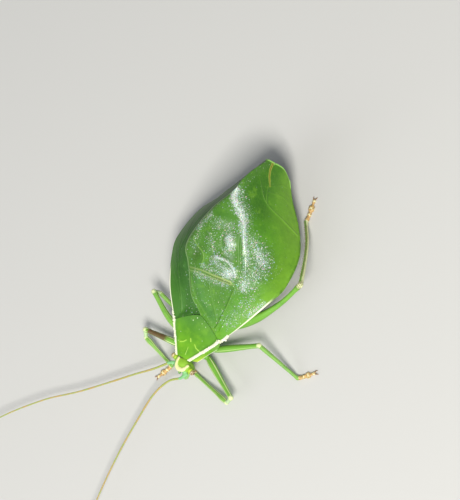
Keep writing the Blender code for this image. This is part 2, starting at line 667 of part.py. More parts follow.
def eyes(carrier):
    for side, name in ((-1, "eye_left"), (1, "eye_right")):
        eye = turn_head(ball((side * EYE_OUT, 0, EYE_RISE), EYE_SIZE, 12, 8))
        make_node(name, eye, "eye_brown", head_spot(side * EYE_OUT, 0, EYE_RISE), carrier)


def antennae(carrier):
    lengths = ANTENNA_LENGTHS
    for name, shape in ANTENNAE.items():
        scape = [at(*spot) for spot in shape["scape"]]
        base = limb(scape, SCAPE_SECTION, 8, 4)
        make_node(f"antenna_{name}_scape", base, "flesh_green", scape[0], carrier)
        rows = route_rows([at(*spot) for spot in shape["route"]])
        total = rows[-1][0]
        for number in range(lengths):
            start = total * number / lengths + (GAP / 2 if number else 0)
            end = total * (number + 1) / lengths - (GAP / 2 if number < lengths - 1 else 0)
            step = (end - start) / ANTENNA_STEPS
            points = [along(rows, start + step * k) for k in range(ANTENNA_STEPS + 1)]
            wide = ANTENNA_RADIUS
            thin = ANTENNA_TIP_RADIUS if number == lengths - 1 else wide
            profile = [(0.0, wide, wide), (0.5, wide, wide), (1.0, thin, thin)]
            length = limb(points, profile, 6, 11)
            make_node(f"antenna_{name}_{number + 1}", length, "feeler_olive", points[0], carrier)


# How far two limbs stop short of the joint between them, so that their domed ends clear
def stop_short(run_a, run_b, radius_a, radius_b):
    half_turn = run_a.angle(run_b) / 2
    reach = (radius_a + radius_b + GAP + 0.1) / (2 * cos(half_turn)) - (radius_a + radius_b) / 2
    return max(reach, GAP / 2 + 0.03)


def trim_end(points, amount):
    run = (points[-1] - points[-2]).normalized()
    return points[:-1] + [points[-1] - run * amount]


def trim_start(points, amount):
    run = (points[1] - points[0]).normalized()
    return [points[0] + run * amount] + points[1:]


# Rows of small spines along a tibia
def spines(points, profile, count, draw):
    rows = route_rows(points)
    length = rows[-1][0]
    pieces = []
    for side in (-1, 1):
        for number in range(count):
            distance = length * (SPINE_FIRST + SPINE_SPAN * number / (count - 1))
            run = (along(rows, distance + 0.1) - along(rows, distance - 0.1)).normalized()
            aside = run.cross(UP).normalized()
            lift = aside.cross(run)
            half_width, half_height = smooth(profile, distance / length)
            lean = (aside * side * SPINE_LEAN[0] + lift * SPINE_LEAN[1]).normalized()
            foot = along(rows, distance) + lean * (min(half_width, half_height) * 0.75)
            reach = SPINE_LENGTH * draw.uniform(*SPINE_UNEVEN)
            pieces.append(spike(foot, foot + (lean + run * SPINE_LEAN[2]).normalized() * reach, SPINE_RADIUS))
    return pieces


def foot(name, ankle, toe, carrier):
    rest = Vector((toe.x, toe.y, SOLE_HEIGHT))
    middle = ankle.lerp(rest, FOOT_BENDS[0])
    middle.z = SOLE_HEIGHT + 0.03
    late = ankle.lerp(rest, FOOT_BENDS[1])
    late.z = SOLE_HEIGHT
    bm = limb([ankle, middle, late, rest], TARSUS, 6, 12)
    for vert in bm.verts:
        vert.co.z = max(vert.co.z, 0.0)
    node = make_node(name, bm, "foot_tan", ankle, carrier)
    run = (rest - middle).normalized()
    aside = run.cross(UP).normalized()
    claws = []
    for side in (-1, 1):
        root = rest - run * CLAW_BACK
        claw = [root] + [root + run * ahead + aside * side * out + UP * rise for ahead, out, rise in CLAW]
        claws.append(limb(claw, CLAW_SECTION, 4, 2))
    fuse(node, claws)
    return node


def leg(name, shape, draw, carrier):
    pair = name.split("_")[0]
    femur_profile = HIND_FEMUR if pair == "hind" else FRONT_FEMUR
    tibia_profile = {"front": FRONT_TIBIA, "mid": MID_TIBIA, "hind": HIND_TIBIA}[pair]
    coxa = [at(*spot) for spot in shape["coxa"]]
    femur = [at(*spot) for spot in shape["femur"]]
    toe = at(*shape["toe"])
    half = HIND_COXA_HALF if pair == "hind" else COXA_HALF
    end = half * COXA_END_SHARE
    hip = limb(coxa, [(0.0, half, half), (1.0, end, end)], 8, 4)
    make_node(f"coxa_{name}", hip, "leg_green", coxa[0], carrier)
    femur = trim_start(femur, GAP + (HIND_FEMUR_CLEAR if pair == "hind" else FEMUR_CLEAR))
    if "shin" in shape:
        tibia = [at(*shape["shin"]), at(*shape["ankle"])]
    else:
        if "tibia" in shape:
            tibia = [at(*spot) for spot in shape["tibia"]]
        else:
            tibia = [femur[-1], at(*shape["ankle"])]
        run_a, run_b = femur[-1] - femur[-2], tibia[1] - tibia[0]
        short = stop_short(run_a, run_b, femur_profile[-1][2], tibia_profile[0][2])
        femur = trim_end(femur, short)
        tibia = trim_start(tibia, short)
    ankle = tibia[-1]
    sole = Vector((toe.x, toe.y, ankle.z))
    run_a, run_b = tibia[-1] - tibia[-2], sole - ankle
    short = stop_short(run_a, run_b, tibia_profile[-1][1], TARSUS[0][1])
    tibia = trim_end(tibia, short)
    make_node(f"femur_{name}", limb(femur, femur_profile, 10, 10), "leg_green", femur[0], carrier)
    shin = make_node(f"tibia_{name}", limb(tibia, tibia_profile, 8, 8), "leg_green", tibia[0], carrier)
    fuse(shin, spines(tibia, tibia_profile, SPINES_PER_ROW[pair], draw))
    foot(f"tarsus_{name}", ankle + run_b.normalized() * short, toe, carrier)


# Puts the origin on the floor under the middle of the whole box
def centre_on_floor(carrier):
    bpy.context.view_layer.update()
    corners = [node.matrix_world @ vert.co for node in carrier.children for vert in node.data.vertices]
    lows = [min(corner[axis] for corner in corners) for axis in range(3)]
    highs = [max(corner[axis] for corner in corners) for axis in range(3)]
    carrier.location = (-(lows[0] + highs[0]) / 2, -(lows[1] + highs[1]) / 2, -lows[2])
    bpy.context.view_layer.update()


def main():
    for old in list(bpy.data.objects):
        bpy.data.objects.remove(old)
    carrier = bpy.data.objects.new("katydid", None)
    bpy.context.scene.collection.objects.link(carrier)
    Wing(-1).node("tegmen_left", carrier)
    Wing(1).node("tegmen_right", carrier)
    pronotum(carrier)
    thorax(carrier)
    abdomen(carrier)
    head(carrier)
    eyes(carrier)
    antennae(carrier)
    draw = random.Random(SPINE_SEED)
    for name, shape in LEGS.items():
        leg(name, shape, draw, carrier)
    centre_on_floor(carrier)


main()
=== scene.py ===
import math
import random

import bmesh
import bpy
import numpy as np
from mathutils import Matrix, Vector


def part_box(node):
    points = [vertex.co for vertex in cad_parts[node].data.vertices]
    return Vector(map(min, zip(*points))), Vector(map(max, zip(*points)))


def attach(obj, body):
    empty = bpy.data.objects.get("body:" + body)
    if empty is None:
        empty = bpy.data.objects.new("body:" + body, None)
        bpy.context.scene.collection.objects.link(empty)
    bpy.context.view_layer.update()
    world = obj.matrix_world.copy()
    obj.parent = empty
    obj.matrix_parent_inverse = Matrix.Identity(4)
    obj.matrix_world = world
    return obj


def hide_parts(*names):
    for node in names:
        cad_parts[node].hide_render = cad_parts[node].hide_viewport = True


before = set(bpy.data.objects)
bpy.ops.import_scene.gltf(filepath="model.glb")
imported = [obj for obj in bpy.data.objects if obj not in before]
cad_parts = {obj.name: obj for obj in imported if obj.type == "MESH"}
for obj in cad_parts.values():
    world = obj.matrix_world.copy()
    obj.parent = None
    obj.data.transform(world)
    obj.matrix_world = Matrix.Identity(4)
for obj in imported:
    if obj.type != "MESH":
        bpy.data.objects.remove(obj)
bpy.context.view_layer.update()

mm = 0.001
print("frame loaded")

# Places are (x, back, z) in millimetres: x to the animal's right, back from the front of the head
thoraxBack = 2.2  # where the thorax starts
trunkLow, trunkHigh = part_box("thorax")
shiftX = (trunkLow[0] + trunkHigh[0]) / 2
shiftY = trunkHigh[1] + thoraxBack * mm


def spot(x, back, z):
    return Vector((shiftX + x * mm, shiftY - back * mm, z * mm))


def toWorld(places):  # the same for rows of (x, forward, z)
    return np.asarray(places) * mm + np.array([shiftX, shiftY, 0])


def readTable(rows, t):  # smooth values at t, from rows of (t, value, ...)
    t = min(max(t, rows[0][0]), rows[-1][0])
    i = 0
    while i < len(rows) - 2 and t > rows[i + 1][0]:
        i += 1
    a, b = rows[i], rows[i + 1]
    before, after = rows[max(i - 1, 0)], rows[min(i + 2, len(rows) - 1)]
    span = b[0] - a[0]
    f = (t - a[0]) / span
    values = []
    for k in range(1, len(a)):
        leave = span * (b[k] - before[k]) / (b[0] - before[0])
        arrive = span * (after[k] - a[k]) / (after[0] - a[0])
        values.append(a[k] * (2 * f ** 3 - 3 * f ** 2 + 1) + leave * (f ** 3 - 2 * f ** 2 + f)
                      + b[k] * (3 * f ** 2 - 2 * f ** 3) + arrive * (f ** 3 - f ** 2))
    return values


def smoothRun(points, steps=10):  # a curve through points, in even steps from each to the next
    rows = [(float(k), *point) for k, point in enumerate(points)]
    count = steps * (len(points) - 1)
    return np.array([readTable(rows, rows[-1][0] * k / count) for k in range(count + 1)])


def routeRows(points):  # a table that starts with the length along the points
    rows = [(0.0, *points[0])]
    for a, b in zip(points, points[1:]):
        rows.append((rows[-1][0] + math.dist(a, b), *b))
    return rows


def ease(low, high, t):  # 0 below low, 1 above high, smooth
    f = np.clip((t - low) / (high - low), 0, 1)
    return f * f * (3 - 2 * f)


def bell(away, half):  # 1 at no distance, falling off
    return np.exp(-(away / half) ** 2)


def evenOut(line, rounds):  # smooths along the first axis and keeps the ends
    for _ in range(rounds):
        line[1:-1] = (line[:-2] + 2 * line[1:-1] + line[2:]) / 4
    return line


def nearRun(spots, run):  # distance from each spot to a run of points, and how far along it
    best, along = np.full(spots.shape[:-1], 99.0), np.zeros(spots.shape[:-1])
    for k, (a, b) in enumerate(zip(run, run[1:])):
        step = b - a
        t = np.clip((spots - a) @ step / max(step @ step, 1e-9), 0, 1)
        away = np.linalg.norm(spots - a - t[..., None] * step, axis=-1)
        closer = away < best
        best[closer], along[closer] = away[closer], (k + t[closer]) / (len(run) - 1)
    return best, along


def ridgeOn(spots, line, half, fade=0.0):  # 1 on a line, less beside it and towards its end
    value = np.zeros(spots.shape[:-1])
    low, high = line.min(axis=0) - 3 * half, line.max(axis=0) + 3 * half
    near = np.all((spots > low) & (spots < high), axis=-1)
    away, along = nearRun(spots[near], line)
    value[near] = bell(away, half) * (1 - fade * along)
    return value


def tallest(shape, ridges):  # the highest of some ridges at each point
    best = np.zeros(shape)
    for ridge in ridges:
        best = np.maximum(best, ridge)
    return best


class Wire:  # one socket, usable in sums
    def __init__(self, graph, socket):
        self.graph, self.socket = graph, socket

    def sum(self, operation, *values):
        return self.graph.add("ShaderNodeMath", {"operation": operation}, values)

    def __add__(self, other):
        return self.sum("ADD", self, other)

    def __sub__(self, other):
        return self.sum("SUBTRACT", self, other)

    def __rsub__(self, other):
        return self.sum("SUBTRACT", other, self)

    def __mul__(self, other):
        return self.sum("MULTIPLY", self, other)

    def __pow__(self, other):
        return self.sum("POWER", self, other)

    __radd__ = __add__
    __rmul__ = __mul__

    def between(self, low, high):  # 0 below low, 1 above high, smooth
        return self.graph.add("ShaderNodeMapRange", {"interpolation_type": "SMOOTHSTEP"},
                              {"Value": self, "From Min": low, "From Max": high})


class Graph:
    def __init__(self, tree):
        self.tree = tree
        tree.nodes.clear()

    def add(self, kind, settings=None, values=None, out=0):
        node = self.tree.nodes.new(kind)
        for name, value in (settings or {}).items():
            setattr(node, name, value)
        for name, value in enumerate(values) if isinstance(values, (list, tuple)) else (values or {}).items():
            self.put(node.inputs[name], value)
        outlets = [socket for socket in node.outputs if socket.enabled]
        if isinstance(out, str):
            return Wire(self, next(socket for socket in outlets if socket.name == out))
        return Wire(self, outlets[out])

    def put(self, socket, value):
        if isinstance(value, Wire):
            self.tree.links.new(value.socket, socket)
        else:
            socket.default_value = (*value, 1) if socket.type == "RGBA" else value

    def mix(self, a, b, factor):
        return self.add("ShaderNodeMix", {"data_type": "RGBA"}, {0: factor, 6: a, 7: b})

    def layers(self, colour, *coats):  # coats of (tint, how much), each over the ones before
        for tint, amount in coats:
            colour = self.mix(colour, tint, amount)
        return colour

    def noise(self, place, scale, detail=3.0, rough=0.55):
        return self.add("ShaderNodeTexNoise", None,
                        {"Vector": place, "Scale": scale, "Detail": detail, "Roughness": rough})

    def cells(self, place, scale, feature="F1", out="Distance"):
        return self.add("ShaderNodeTexVoronoi", {"feature": feature}, {"Vector": place, "Scale": scale}, out)

    def chance(self, seed):  # a number from 0 to 1 for each place or colour
        return self.add("ShaderNodeTexWhiteNoise", {"noise_dimensions": "3D"}, {"Vector": seed}, "Value")

    def bump(self, height, depth, strength):
        return self.add("ShaderNodeBump", None, {"Height": height, "Distance": depth, "Strength": strength})

    def mark(self, name, out="Fac"):  # what is kept on the piece's own points
        return self.add("ShaderNodeAttribute", {"attribute_name": name}, None, out)


def addObject(name, data):
    thing = bpy.data.objects.new(name, data)
    bpy.context.scene.collection.objects.link(thing)
    return thing


def plainMesh(thing):  # its mesh with the modifiers worked in; the thing itself goes
    mesh = bpy.data.meshes.new_from_object(thing.evaluated_get(bpy.context.evaluated_depsgraph_get()))
    thing.modifiers.clear()
    bpy.data.objects.remove(thing)
    return mesh


def keepMark(mesh, name, values, kind="FLOAT", field="value"):
    layer = mesh.attributes.new(name, kind, "POINT")
    layer.data.foreach_set(field, np.asarray(values, dtype=np.float32).ravel())


def newTree(name, sizes):  # an empty geometry tree with named inputs
    tree = bpy.data.node_groups.new(name, "GeometryNodeTree")
    kinds = {"Finish": "NodeSocketMaterial", "Seed": "NodeSocketInt", "Geometry": "NodeSocketGeometry"}
    for key in ["Geometry", *sizes, "Seed", "Finish"]:
        tree.interface.new_socket(key, in_out="INPUT", socket_type=kinds.get(key, "NodeSocketFloat"))
    tree.interface.new_socket("Geometry", in_out="OUTPUT", socket_type="NodeSocketGeometry")
    graph = Graph(tree)
    source = tree.nodes.new("NodeGroupInput")
    return graph, {socket.name: Wire(graph, socket) for socket in source.outputs if socket.name}


def chanceBetween(graph, low, high, seed):
    return graph.add("FunctionNodeRandomValue", {"data_type": "FLOAT"}, {"Min": low, "Max": high, "Seed": seed})


def scatter(graph, points, shape, lean, wide, tall):  # a copy on each point, turned along its lean
    turn = graph.add("FunctionNodeAlignRotationToVector", {"axis": "Z"}, {"Vector": lean})
    scale = graph.add("ShaderNodeCombineXYZ", None, [wide, wide, tall])
    return graph.add("GeometryNodeInstanceOnPoints", None,
                     {"Points": points, "Instance": shape, "Rotation": turn, "Scale": scale})


def endTree(graph, grown, finish):
    real = graph.add("GeometryNodeRealizeInstances", None, {"Geometry": grown})
    dressed = graph.add("GeometryNodeSetMaterial", None, {"Geometry": real, "Material": finish})
    smooth = graph.add("GeometryNodeSetShadeSmooth", None, {"Geometry": dressed})
    graph.put(graph.tree.nodes.new("NodeGroupOutput").inputs[0], smooth)
    return graph.tree


def grow(name, guide, tree, finish, seed, **sizes):  # runs a tree on a guide and keeps the plain mesh
    modifier = guide.modifiers.new("grow", "NODES")
    modifier.node_group = tree
    given = {"Finish": finish, "Seed": seed, **sizes}
    for item in tree.interface.items_tree:
        if item.in_out == "INPUT" and item.name in given:
            modifier[item.identifier] = given[item.name]
    mesh = plainMesh(guide)
    mesh.name = name
    return addObject(name, mesh)


def newMaterial(name, paint, **sockets):
    material = bpy.data.materials.new(name)
    material.use_nodes = True
    graph = Graph(material.node_tree)
    shader = material.node_tree.nodes.new("ShaderNodeBsdfPrincipled")
    output = material.node_tree.nodes.new("ShaderNodeOutputMaterial")
    material.node_tree.links.new(shader.outputs[0], output.inputs[0])
    place = graph.add("ShaderNodeTexCoord", None, None, "Object")
    for socket, value in {**sockets, **paint(graph, place)}.items():
        graph.put(shader.inputs[socket], value)
    return material


def newPiece(name, points, faces, material, marks=None, smooth=True):
    mesh = bpy.data.meshes.new(name)
    mesh.from_pydata([tuple(p) for p in points], [], [tuple(f) for f in faces])
    mesh.materials.append(material)
    for key, values in (marks or {}).items():
        if np.ndim(values) == 2:
            keepMark(mesh, key, np.hstack([values, np.ones((len(values), 1))]), "FLOAT_COLOR", "color")
        else:
            keepMark(mesh, key, values)
    if smooth:
        mesh.shade_smooth()
    return addObject(name, mesh)


def faceOut(piece):
    bm = bmesh.new()
    bm.from_mesh(piece.data)
    bmesh.ops.recalc_face_normals(bm, faces=bm.faces)
    bm.to_mesh(piece.data)
    bm.free()
    return piece


def gridFaces(rows, columns, offset=0):
    i, j = np.meshgrid(np.arange(rows - 1), np.arange(columns - 1), indexing="ij")
    a = (i * columns + j).ravel() + offset
    return np.stack([a, a + columns, a + columns + 1, a + 1], axis=1)


def shellFaces(rows, columns):  # an outer grid, an inner grid and the rim between them
    count = rows * columns
    corners = np.arange(count).reshape(rows, columns)
    rim = [np.stack([line[:-1], line[1:], line[1:] + count, line[:-1] + count], axis=1)
           for line in (corners[:, 0], corners[:, -1], corners[0], corners[-1])]
    return np.vstack([gridFaces(rows, columns), gridFaces(rows, columns, count)[:, ::-1], *rim])


def gridNormals(places, column):  # pointing up in the middle of that column
    normal = np.cross(np.gradient(places, axis=0), np.gradient(places, axis=1))
    normal /= np.maximum(np.linalg.norm(normal, axis=-1, keepdims=True), 1e-9)
    return -normal if normal[len(normal) // 2, column, 2] < 0 else normal


def shellPiece(name, outer, normal, thick, material, marks):  # a wall of some thickness under a grid of places
    grid = outer.shape[:2]
    inner = outer - normal * thick[..., None]
    points = np.vstack([outer.reshape(-1, 3), inner.reshape(-1, 3)]) * (1, -1, 1)
    marks = {key: np.tile(np.broadcast_to(value, grid).ravel(), 2) for key, value in marks.items()}
    return faceOut(newPiece(name, toWorld(points), shellFaces(*grid), material, marks))


def ride(piece, slot, *nodes):
    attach(piece, "root")
    if nodes:
        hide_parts(*nodes)


saddle = {
    "front": 1.75, "shoulder": 6.43, "rear": 8.8, "half": 4.28, "rearCurve": 1.35, "lean": 0.068,
    "keel": [(1.6, 1.1, 5.3), (4.0, 2.7, 5.55), (6.43, 4.28, 5.9), (8.8, 4.28, 6.75)],
    "depth": [(1.6, 1.3), (4.5, 1.95), (6.6, 2.2)], "flare": [(1.6, 0.5), (4.5, 0.1), (6.6, 0.0)],
    "crown": 0.15, "setback": 1.3, "slant": 0.35, "thick": 0.17, "rows": 130, "columns": 141,
    "keelHigh": 0.2, "keelHalf": 0.26, "keelWide": (1.3, 0.9),  # the left keel shows wider than the right one
    "scarHigh": 0.05, "hemHigh": 0.06, "hemHalf": 0.06, "grooveDeep": 0.09,
    # pale raised marks on the disc, as runs of (x, back), and their half width
    "marks": [([(1.85, 3.8), (1.3, 4.02), (0.93, 4.42)], 0.1), ([(-0.76, 4.35), (-1.16, 3.97), (-1.75, 3.8)], 0.1),
              ([(0.1, 4.55), (0.3, 4.9)], 0.13), ([(0.1, 2.3), (0.12, 3.6)], 0.05)],
}


def midLine(back):  # the front of the animal turns a little aside
    return saddle["lean"] * max(saddle["shoulder"] - back, 0.0)


def keelAt(back):
    half, height = readTable(saddle["keel"], back)
    return min(half, saddle["half"]), height


def saddleRear(aside):
    sweep = np.minimum(aside / saddle["half"], 1.0) ** saddle["rearCurve"]
    return saddle["rear"] - (saddle["rear"] - saddle["shoulder"]) * sweep


def saddleSpot(u, t):  # u: -1 and 1 on the keels, past them down the lobes; t: front to rear
    down = max(abs(u) - 1, 0.0)
    start = saddle["front"] + saddle["slant"] * down
    end = saddle["shoulder"] - saddle["setback"] * down * down if down else saddleRear(abs(u) * saddle["half"])
    back = start + (end - start) * t
    half, height = keelAt(back)
    if not down:
        return midLine(back) + half * u, back, height + saddle["crown"] * (1 - u * u)
    depth, flare = readTable(saddle["depth"], back)[0], readTable(saddle["flare"], back)[0] * down
    return midLine(back) + math.copysign(half + flare, u), back, height - depth * down


def makePronotum(material):
    rows, columns = saddle["rows"], saddle["columns"]
    sides, down = np.linspace(-2, 2, columns), np.linspace(0, 1, rows)[:, None]
    aside = np.abs(sides)
    places = np.array([[saddleSpot(u, t) for u in sides] for t in down[:, 0]])
    evenOut(places.swapaxes(0, 1), 3)  # rounds the shoulders
    normal = gridNormals(places, columns // 2)
    half = np.array([keelAt(back)[0] for back in places[:, columns // 2, 1]])[:, None]
    fromKeel = np.abs(aside - 1) * np.where(aside < 1, half, 2.0)
    keel = bell(fromKeel, saddle["keelHalf"] * np.where(sides < 0, *saddle["keelWide"]))
    scar = tallest((rows, columns), (bell(nearRun(places[..., :2], np.array(run))[0], width)
                                     for run, width in saddle["marks"])) * (aside < 1)
    hem = bell(2 - aside, saddle["hemHalf"])
    groove = bell(aside - 1.5, 0.2) * bell(places[..., 1] - 4.4, 0.25)  # down each lobe
    lift = saddle["keelHigh"] * keel + saddle["scarHigh"] * scar + saddle["hemHigh"] * hem \
        - saddle["grooveDeep"] * groove
    thick = saddle["thick"] * (1 - 0.75 * down ** 6)  # thinner to the rear
    marks = {"keel": keel, "scar": scar, "hem": hem, "aside": aside,
             "behind": (places[..., 1] - saddle["front"]) / (saddle["rear"] - saddle["front"])}
    return shellPiece("pronotumPlate", places + normal * lift[..., None], normal, thick, material, marks)


def pronotumPaint(graph, place):
    aside, behind = graph.mark("aside"), graph.mark("behind")
    broad, fine, patch = graph.noise(place, 700, 3), graph.noise(place, 3200, 3), graph.noise(place, 420, 2)
    chance = graph.chance(graph.cells(place, 2600, "F1", "Position"))
    dots = chance.between(0.9, 0.94) * (1 - graph.cells(place, 2600).between(0.16, 0.32)) * (0.3 + 0.7 * behind)
    colour = graph.layers(
        (0.15, 0.41, 0.012),
        ((0.085, 0.27, 0.016), behind.between(0.25, 0.85)),
        ((0.05, 0.2, 0.01), patch.between(0.4, 0.75) * 0.5),
        ((0.24, 0.52, 0.02), broad.between(0.42, 0.75) * (1 - behind * 0.7) * 0.6),
        ((0.055, 0.19, 0.018), behind.between(0.7, 1.0) * 0.75),
        ((0.06, 0.22, 0.012), aside.between(0.72, 0.95) * (1 - aside.between(0.98, 1.02)) * 0.6),
        ((0.2, 0.5, 0.03), aside.between(1.05, 1.4) * (1 - aside.between(1.7, 2.0)) * 0.6),
        ((0.5, 0.66, 0.04), aside.between(1.2, 1.8) * (1 - behind.between(0.0, 0.35)) * 0.9),
        ((0.62, 0.8, 0.5), dots),
        ((0.42, 0.7, 0.08), graph.mark("scar").between(0.25, 0.7) * 0.8),
        ((0.86, 0.86, 0.64), graph.mark("keel").between(0.3, 0.55)),
        ((0.78, 0.84, 0.6), graph.mark("hem").between(0.3, 0.8)))
    relief = graph.cells(place, 4200) * 0.25 + fine * 0.35 + dots * 0.5
    return {"Base Color": colour, "Roughness": 0.36 + 0.14 * fine, "Normal": graph.bump(relief, 0.00004, 0.8)}


pronotumGreen = newMaterial("pronotumGreen", pronotumPaint, **{"Specular IOR Level": 0.5})
ride(makePronotum(pronotumGreen), "plate_green", "pronotum")
print("pronotum made")

tegmen = {
    "rim": [(6.8, 4.7, 5.8), (10.9, 7.4, 6.5), (15.7, 9.65, 6.3), (18.0, 10.35, 5.7), (23.4, 9.6, 4.4),
            (27.3, 7.1, 3.8), (31.0, 4.0, 4.4), (33.4, 2.75, 5.3), (34.8, 1.95, 6.1)],
    "fold": [(7.0, 3.2, 5.85), (10.6, 3.8, 7.4), (15.5, 5.6, 9.9), (19.0, 4.85, 11.5), (24.5, 2.6, 13.3),
             (28.6, 0.0, 14.6), (31.4, 0.0, 13.2), (34.8, 0.0, 9.4)],
    "suture": [(8.9, -0.15), (9.85, 1.35), (11.1, 2.8), (12.6, 3.5), (14.0, 4.0), (15.3, 4.65), (16.6, 5.2)],
    # how far the left one's inner edge laps down the right one's flank
    "wrap": [(16.2, 0.0), (16.9, 0.3), (17.9, 0.75), (19.3, 1.15), (25.0, 1.2), (26.8, 0.75), (28.3, 0.0),
             (34.8, 0.0)],
    "under": [(7.0, 3.1, 5.45, -1.2, 5.3), (10.6, 3.75, 6.95, -1.2, 6.9), (15.5, 5.5, 9.42, -1.0, 9.8),
              (19.0, 4.8, 11.02, -0.8, 11.42), (24.5, 2.5, 12.85, 0.3, 13.05), (26.6, 1.45, 13.3, 0.33, 13.65),
              (28.6, 0.9, 13.1, 0.27, 14.1), (31.4, 0.7, 11.5, 0.25, 12.6), (34.8, 0.7, 8.1, 0.25, 8.95)],
    "bulge": [(6.8, 0.05), (28.0, 0.05), (34.8, 0.09)],
    "dome": 0.45, "end": 34.8, "tipRounding": 1.5, "tipPower": 8, "notch": 0.22, "notchHalf": 0.014,
    "tuck": 0.11, "underlap": 0.2,  # the front lies below the pronotum's top, the right one lower still
    "thick": 0.16, "edgeDown": 0.2, "rimHigh": 0.07, "rimHalf": 0.24, "fileHigh": 0.2,
    "veinHigh": 0.15, "veinHalf": 0.12, "veinFade": 0.6, "width": 16,  # from rim to inner edge, about
    "frontIn": 0.75,  # how far the front goes under the pronotum
    "rows": 270, "columns": 146, "sections": 150, "sectionsFrom": 6.6, "sectionsTo": 34.9, "outlinePoints": 141,
    "flankSteps": 26, "topSteps": 22, "lapSteps": 8, "evenAcross": 34, "evenAlong": 8,
}
# veins as runs of (back, share): 0 at the rim, 1 at the fold, 2 at the inner edge; then height and half width
sideVeins = [
    ([(7.6, 0.8), (12.0, 0.67), (18.0, 0.64), (24.0, 0.64), (28.5, 0.6)], 0.4, 1.0),
    ([(26.3, 0.04), (27.5, 0.32), (28.6, 0.6), (30.5, 0.78), (31.6, 0.92)], 0.85, 0.9),
    ([(28.6, 0.6), (30.9, 0.66), (32.6, 0.68)], 0.6, 0.8),
    ([(9.6, 0.66), (12.6, 0.42), (15.6, 0.05)], 0.35, 0.8),
    ([(12.4, 0.65), (15.6, 0.4), (18.6, 0.04)], 0.35, 0.8),
    ([(15.4, 0.64), (18.6, 0.4), (21.4, 0.04)], 0.35, 0.8),
    ([(18.6, 0.64), (21.8, 0.38), (24.2, 0.04)], 0.35, 0.8),
    ([(30.2, 0.62), (30.6, 0.3), (30.0, 0.05)], 0.4, 0.75),
    ([(31.2, 0.62), (32.2, 0.32), (32.0, 0.06)], 0.4, 0.75),
    ([(22.0, 0.64), (24.8, 0.84), (26.8, 0.97)], 0.35, 0.75),
]
foldVein = ([(20.0, 1.0), (24.0, 1.0), (28.6, 1.0)], 0.5, 1.3)
# the rest are on the left wing's top only, as runs of (x, back); veins end in height and half width in mm
fileRun = [(3.6, 14.6), (1.5, 14.95), (-1.1, 15.1), (-3.85, 15.35)]
planVeins = [
    ([(4.5, 19.3), (4.3, 18.9), (3.2, 18.2), (2.1, 17.7), (1.65, 16.9), (1.8, 15.8)], 0.13, 0.14),
    ([(0.95, 20.4), (0.8, 19.9), (0.66, 18.8), (-0.04, 18.1)], 0.1, 0.13),
    ([(-4.75, 15.1), (-4.6, 14.3), (-4.1, 12.0), (-3.4, 9.4), (-3.05, 8.2)], 0.08, 0.12),
    ([(-3.9, 16.2), (-4.2, 15.65), (-4.5, 15.0)], 0.14, 0.12),
    ([(3.2, 13.6), (2.6, 12.2), (1.2, 10.6), (-0.9, 9.2), (-2.0, 8.6)], 0.07, 0.13),
    ([(-0.1, 14.3), (-0.9, 12.4), (-2.3, 10.3), (-3.0, 9.0)], 0.06, 0.14),
    ([(3.6, 22.3), (2.2, 22.6), (0.4, 22.2), (-0.6, 21.6)], 0.05, 0.12),
    ([(3.1, 23.3), (1.4, 23.6), (-0.6, 23.4), (-2.3, 23.6)], 0.05, 0.12),
    ([(1.9, 21.7), (1.5, 20.6), (1.7, 19.3), (1.3, 18.2)], 0.05, 0.12),
]
# rises and hollows: run, rise, half width
reliefRuns = [
    ([(-1.75, 21.35), (-2.15, 20.65)], 0.46, 0.85),
    ([(-0.5, 21.5), (-0.7, 20.4), (-1.1, 19.4), (-2.2, 18.9)], -0.14, 0.22),
    ([(-0.24, 18.0), (-1.46, 18.15), (-2.68, 18.1), (-3.79, 17.54), (-4.45, 16.6), (-4.3, 15.95)], 0.26, 0.3),
    ([(-0.4, 17.2), (-2.6, 16.9), (-3.5, 16.4)], 0.22, 0.75),
    ([(3.3, 17.2), (3.5, 16.7)], -0.2, 0.8),
    ([(-2.9, 18.8), (-2.1, 18.9)], -0.16, 0.38),
    ([(-2.3, 24.9), (-3.05, 23.3), (-3.65, 21.5), (-4.25, 19.7), (-4.7, 18.4), (-4.95, 17.0)], -0.22, 0.17),
    ([(0, 28.7), (0, 27.5), (-0.85, 26.5), (-1.8, 25.9), (-2.5, 25.0), (-3.0, 24.1), (-3.45, 22.9), (-4.05, 21.8),
      (-4.75, 20.6), (-5.3, 19.3), (-5.65, 17.9)], 0.1, 0.28),
    ([(2.2, 13.7), (1.3, 12.4), (-0.2, 10.7), (-2.0, 9.5)], 0.16, 0.6),
    ([(-2.2, 13.9), (-1.6, 12.4)], -0.14, 1.1),
    ([(2.9, 20.6), (2.4, 19.2)], -0.14, 0.7), ([(1.0, 21.2), (0.3, 20.2)], 0.12, 0.6),
    ([(3.4, 22.6), (1.6, 23.9)], -0.1, 0.6),
    ([(-4.45, 15.0), (-4.3, 14.3), (-3.78, 12.0), (-3.08, 9.4), (-2.75, 8.2)], -0.12, 0.12),
]
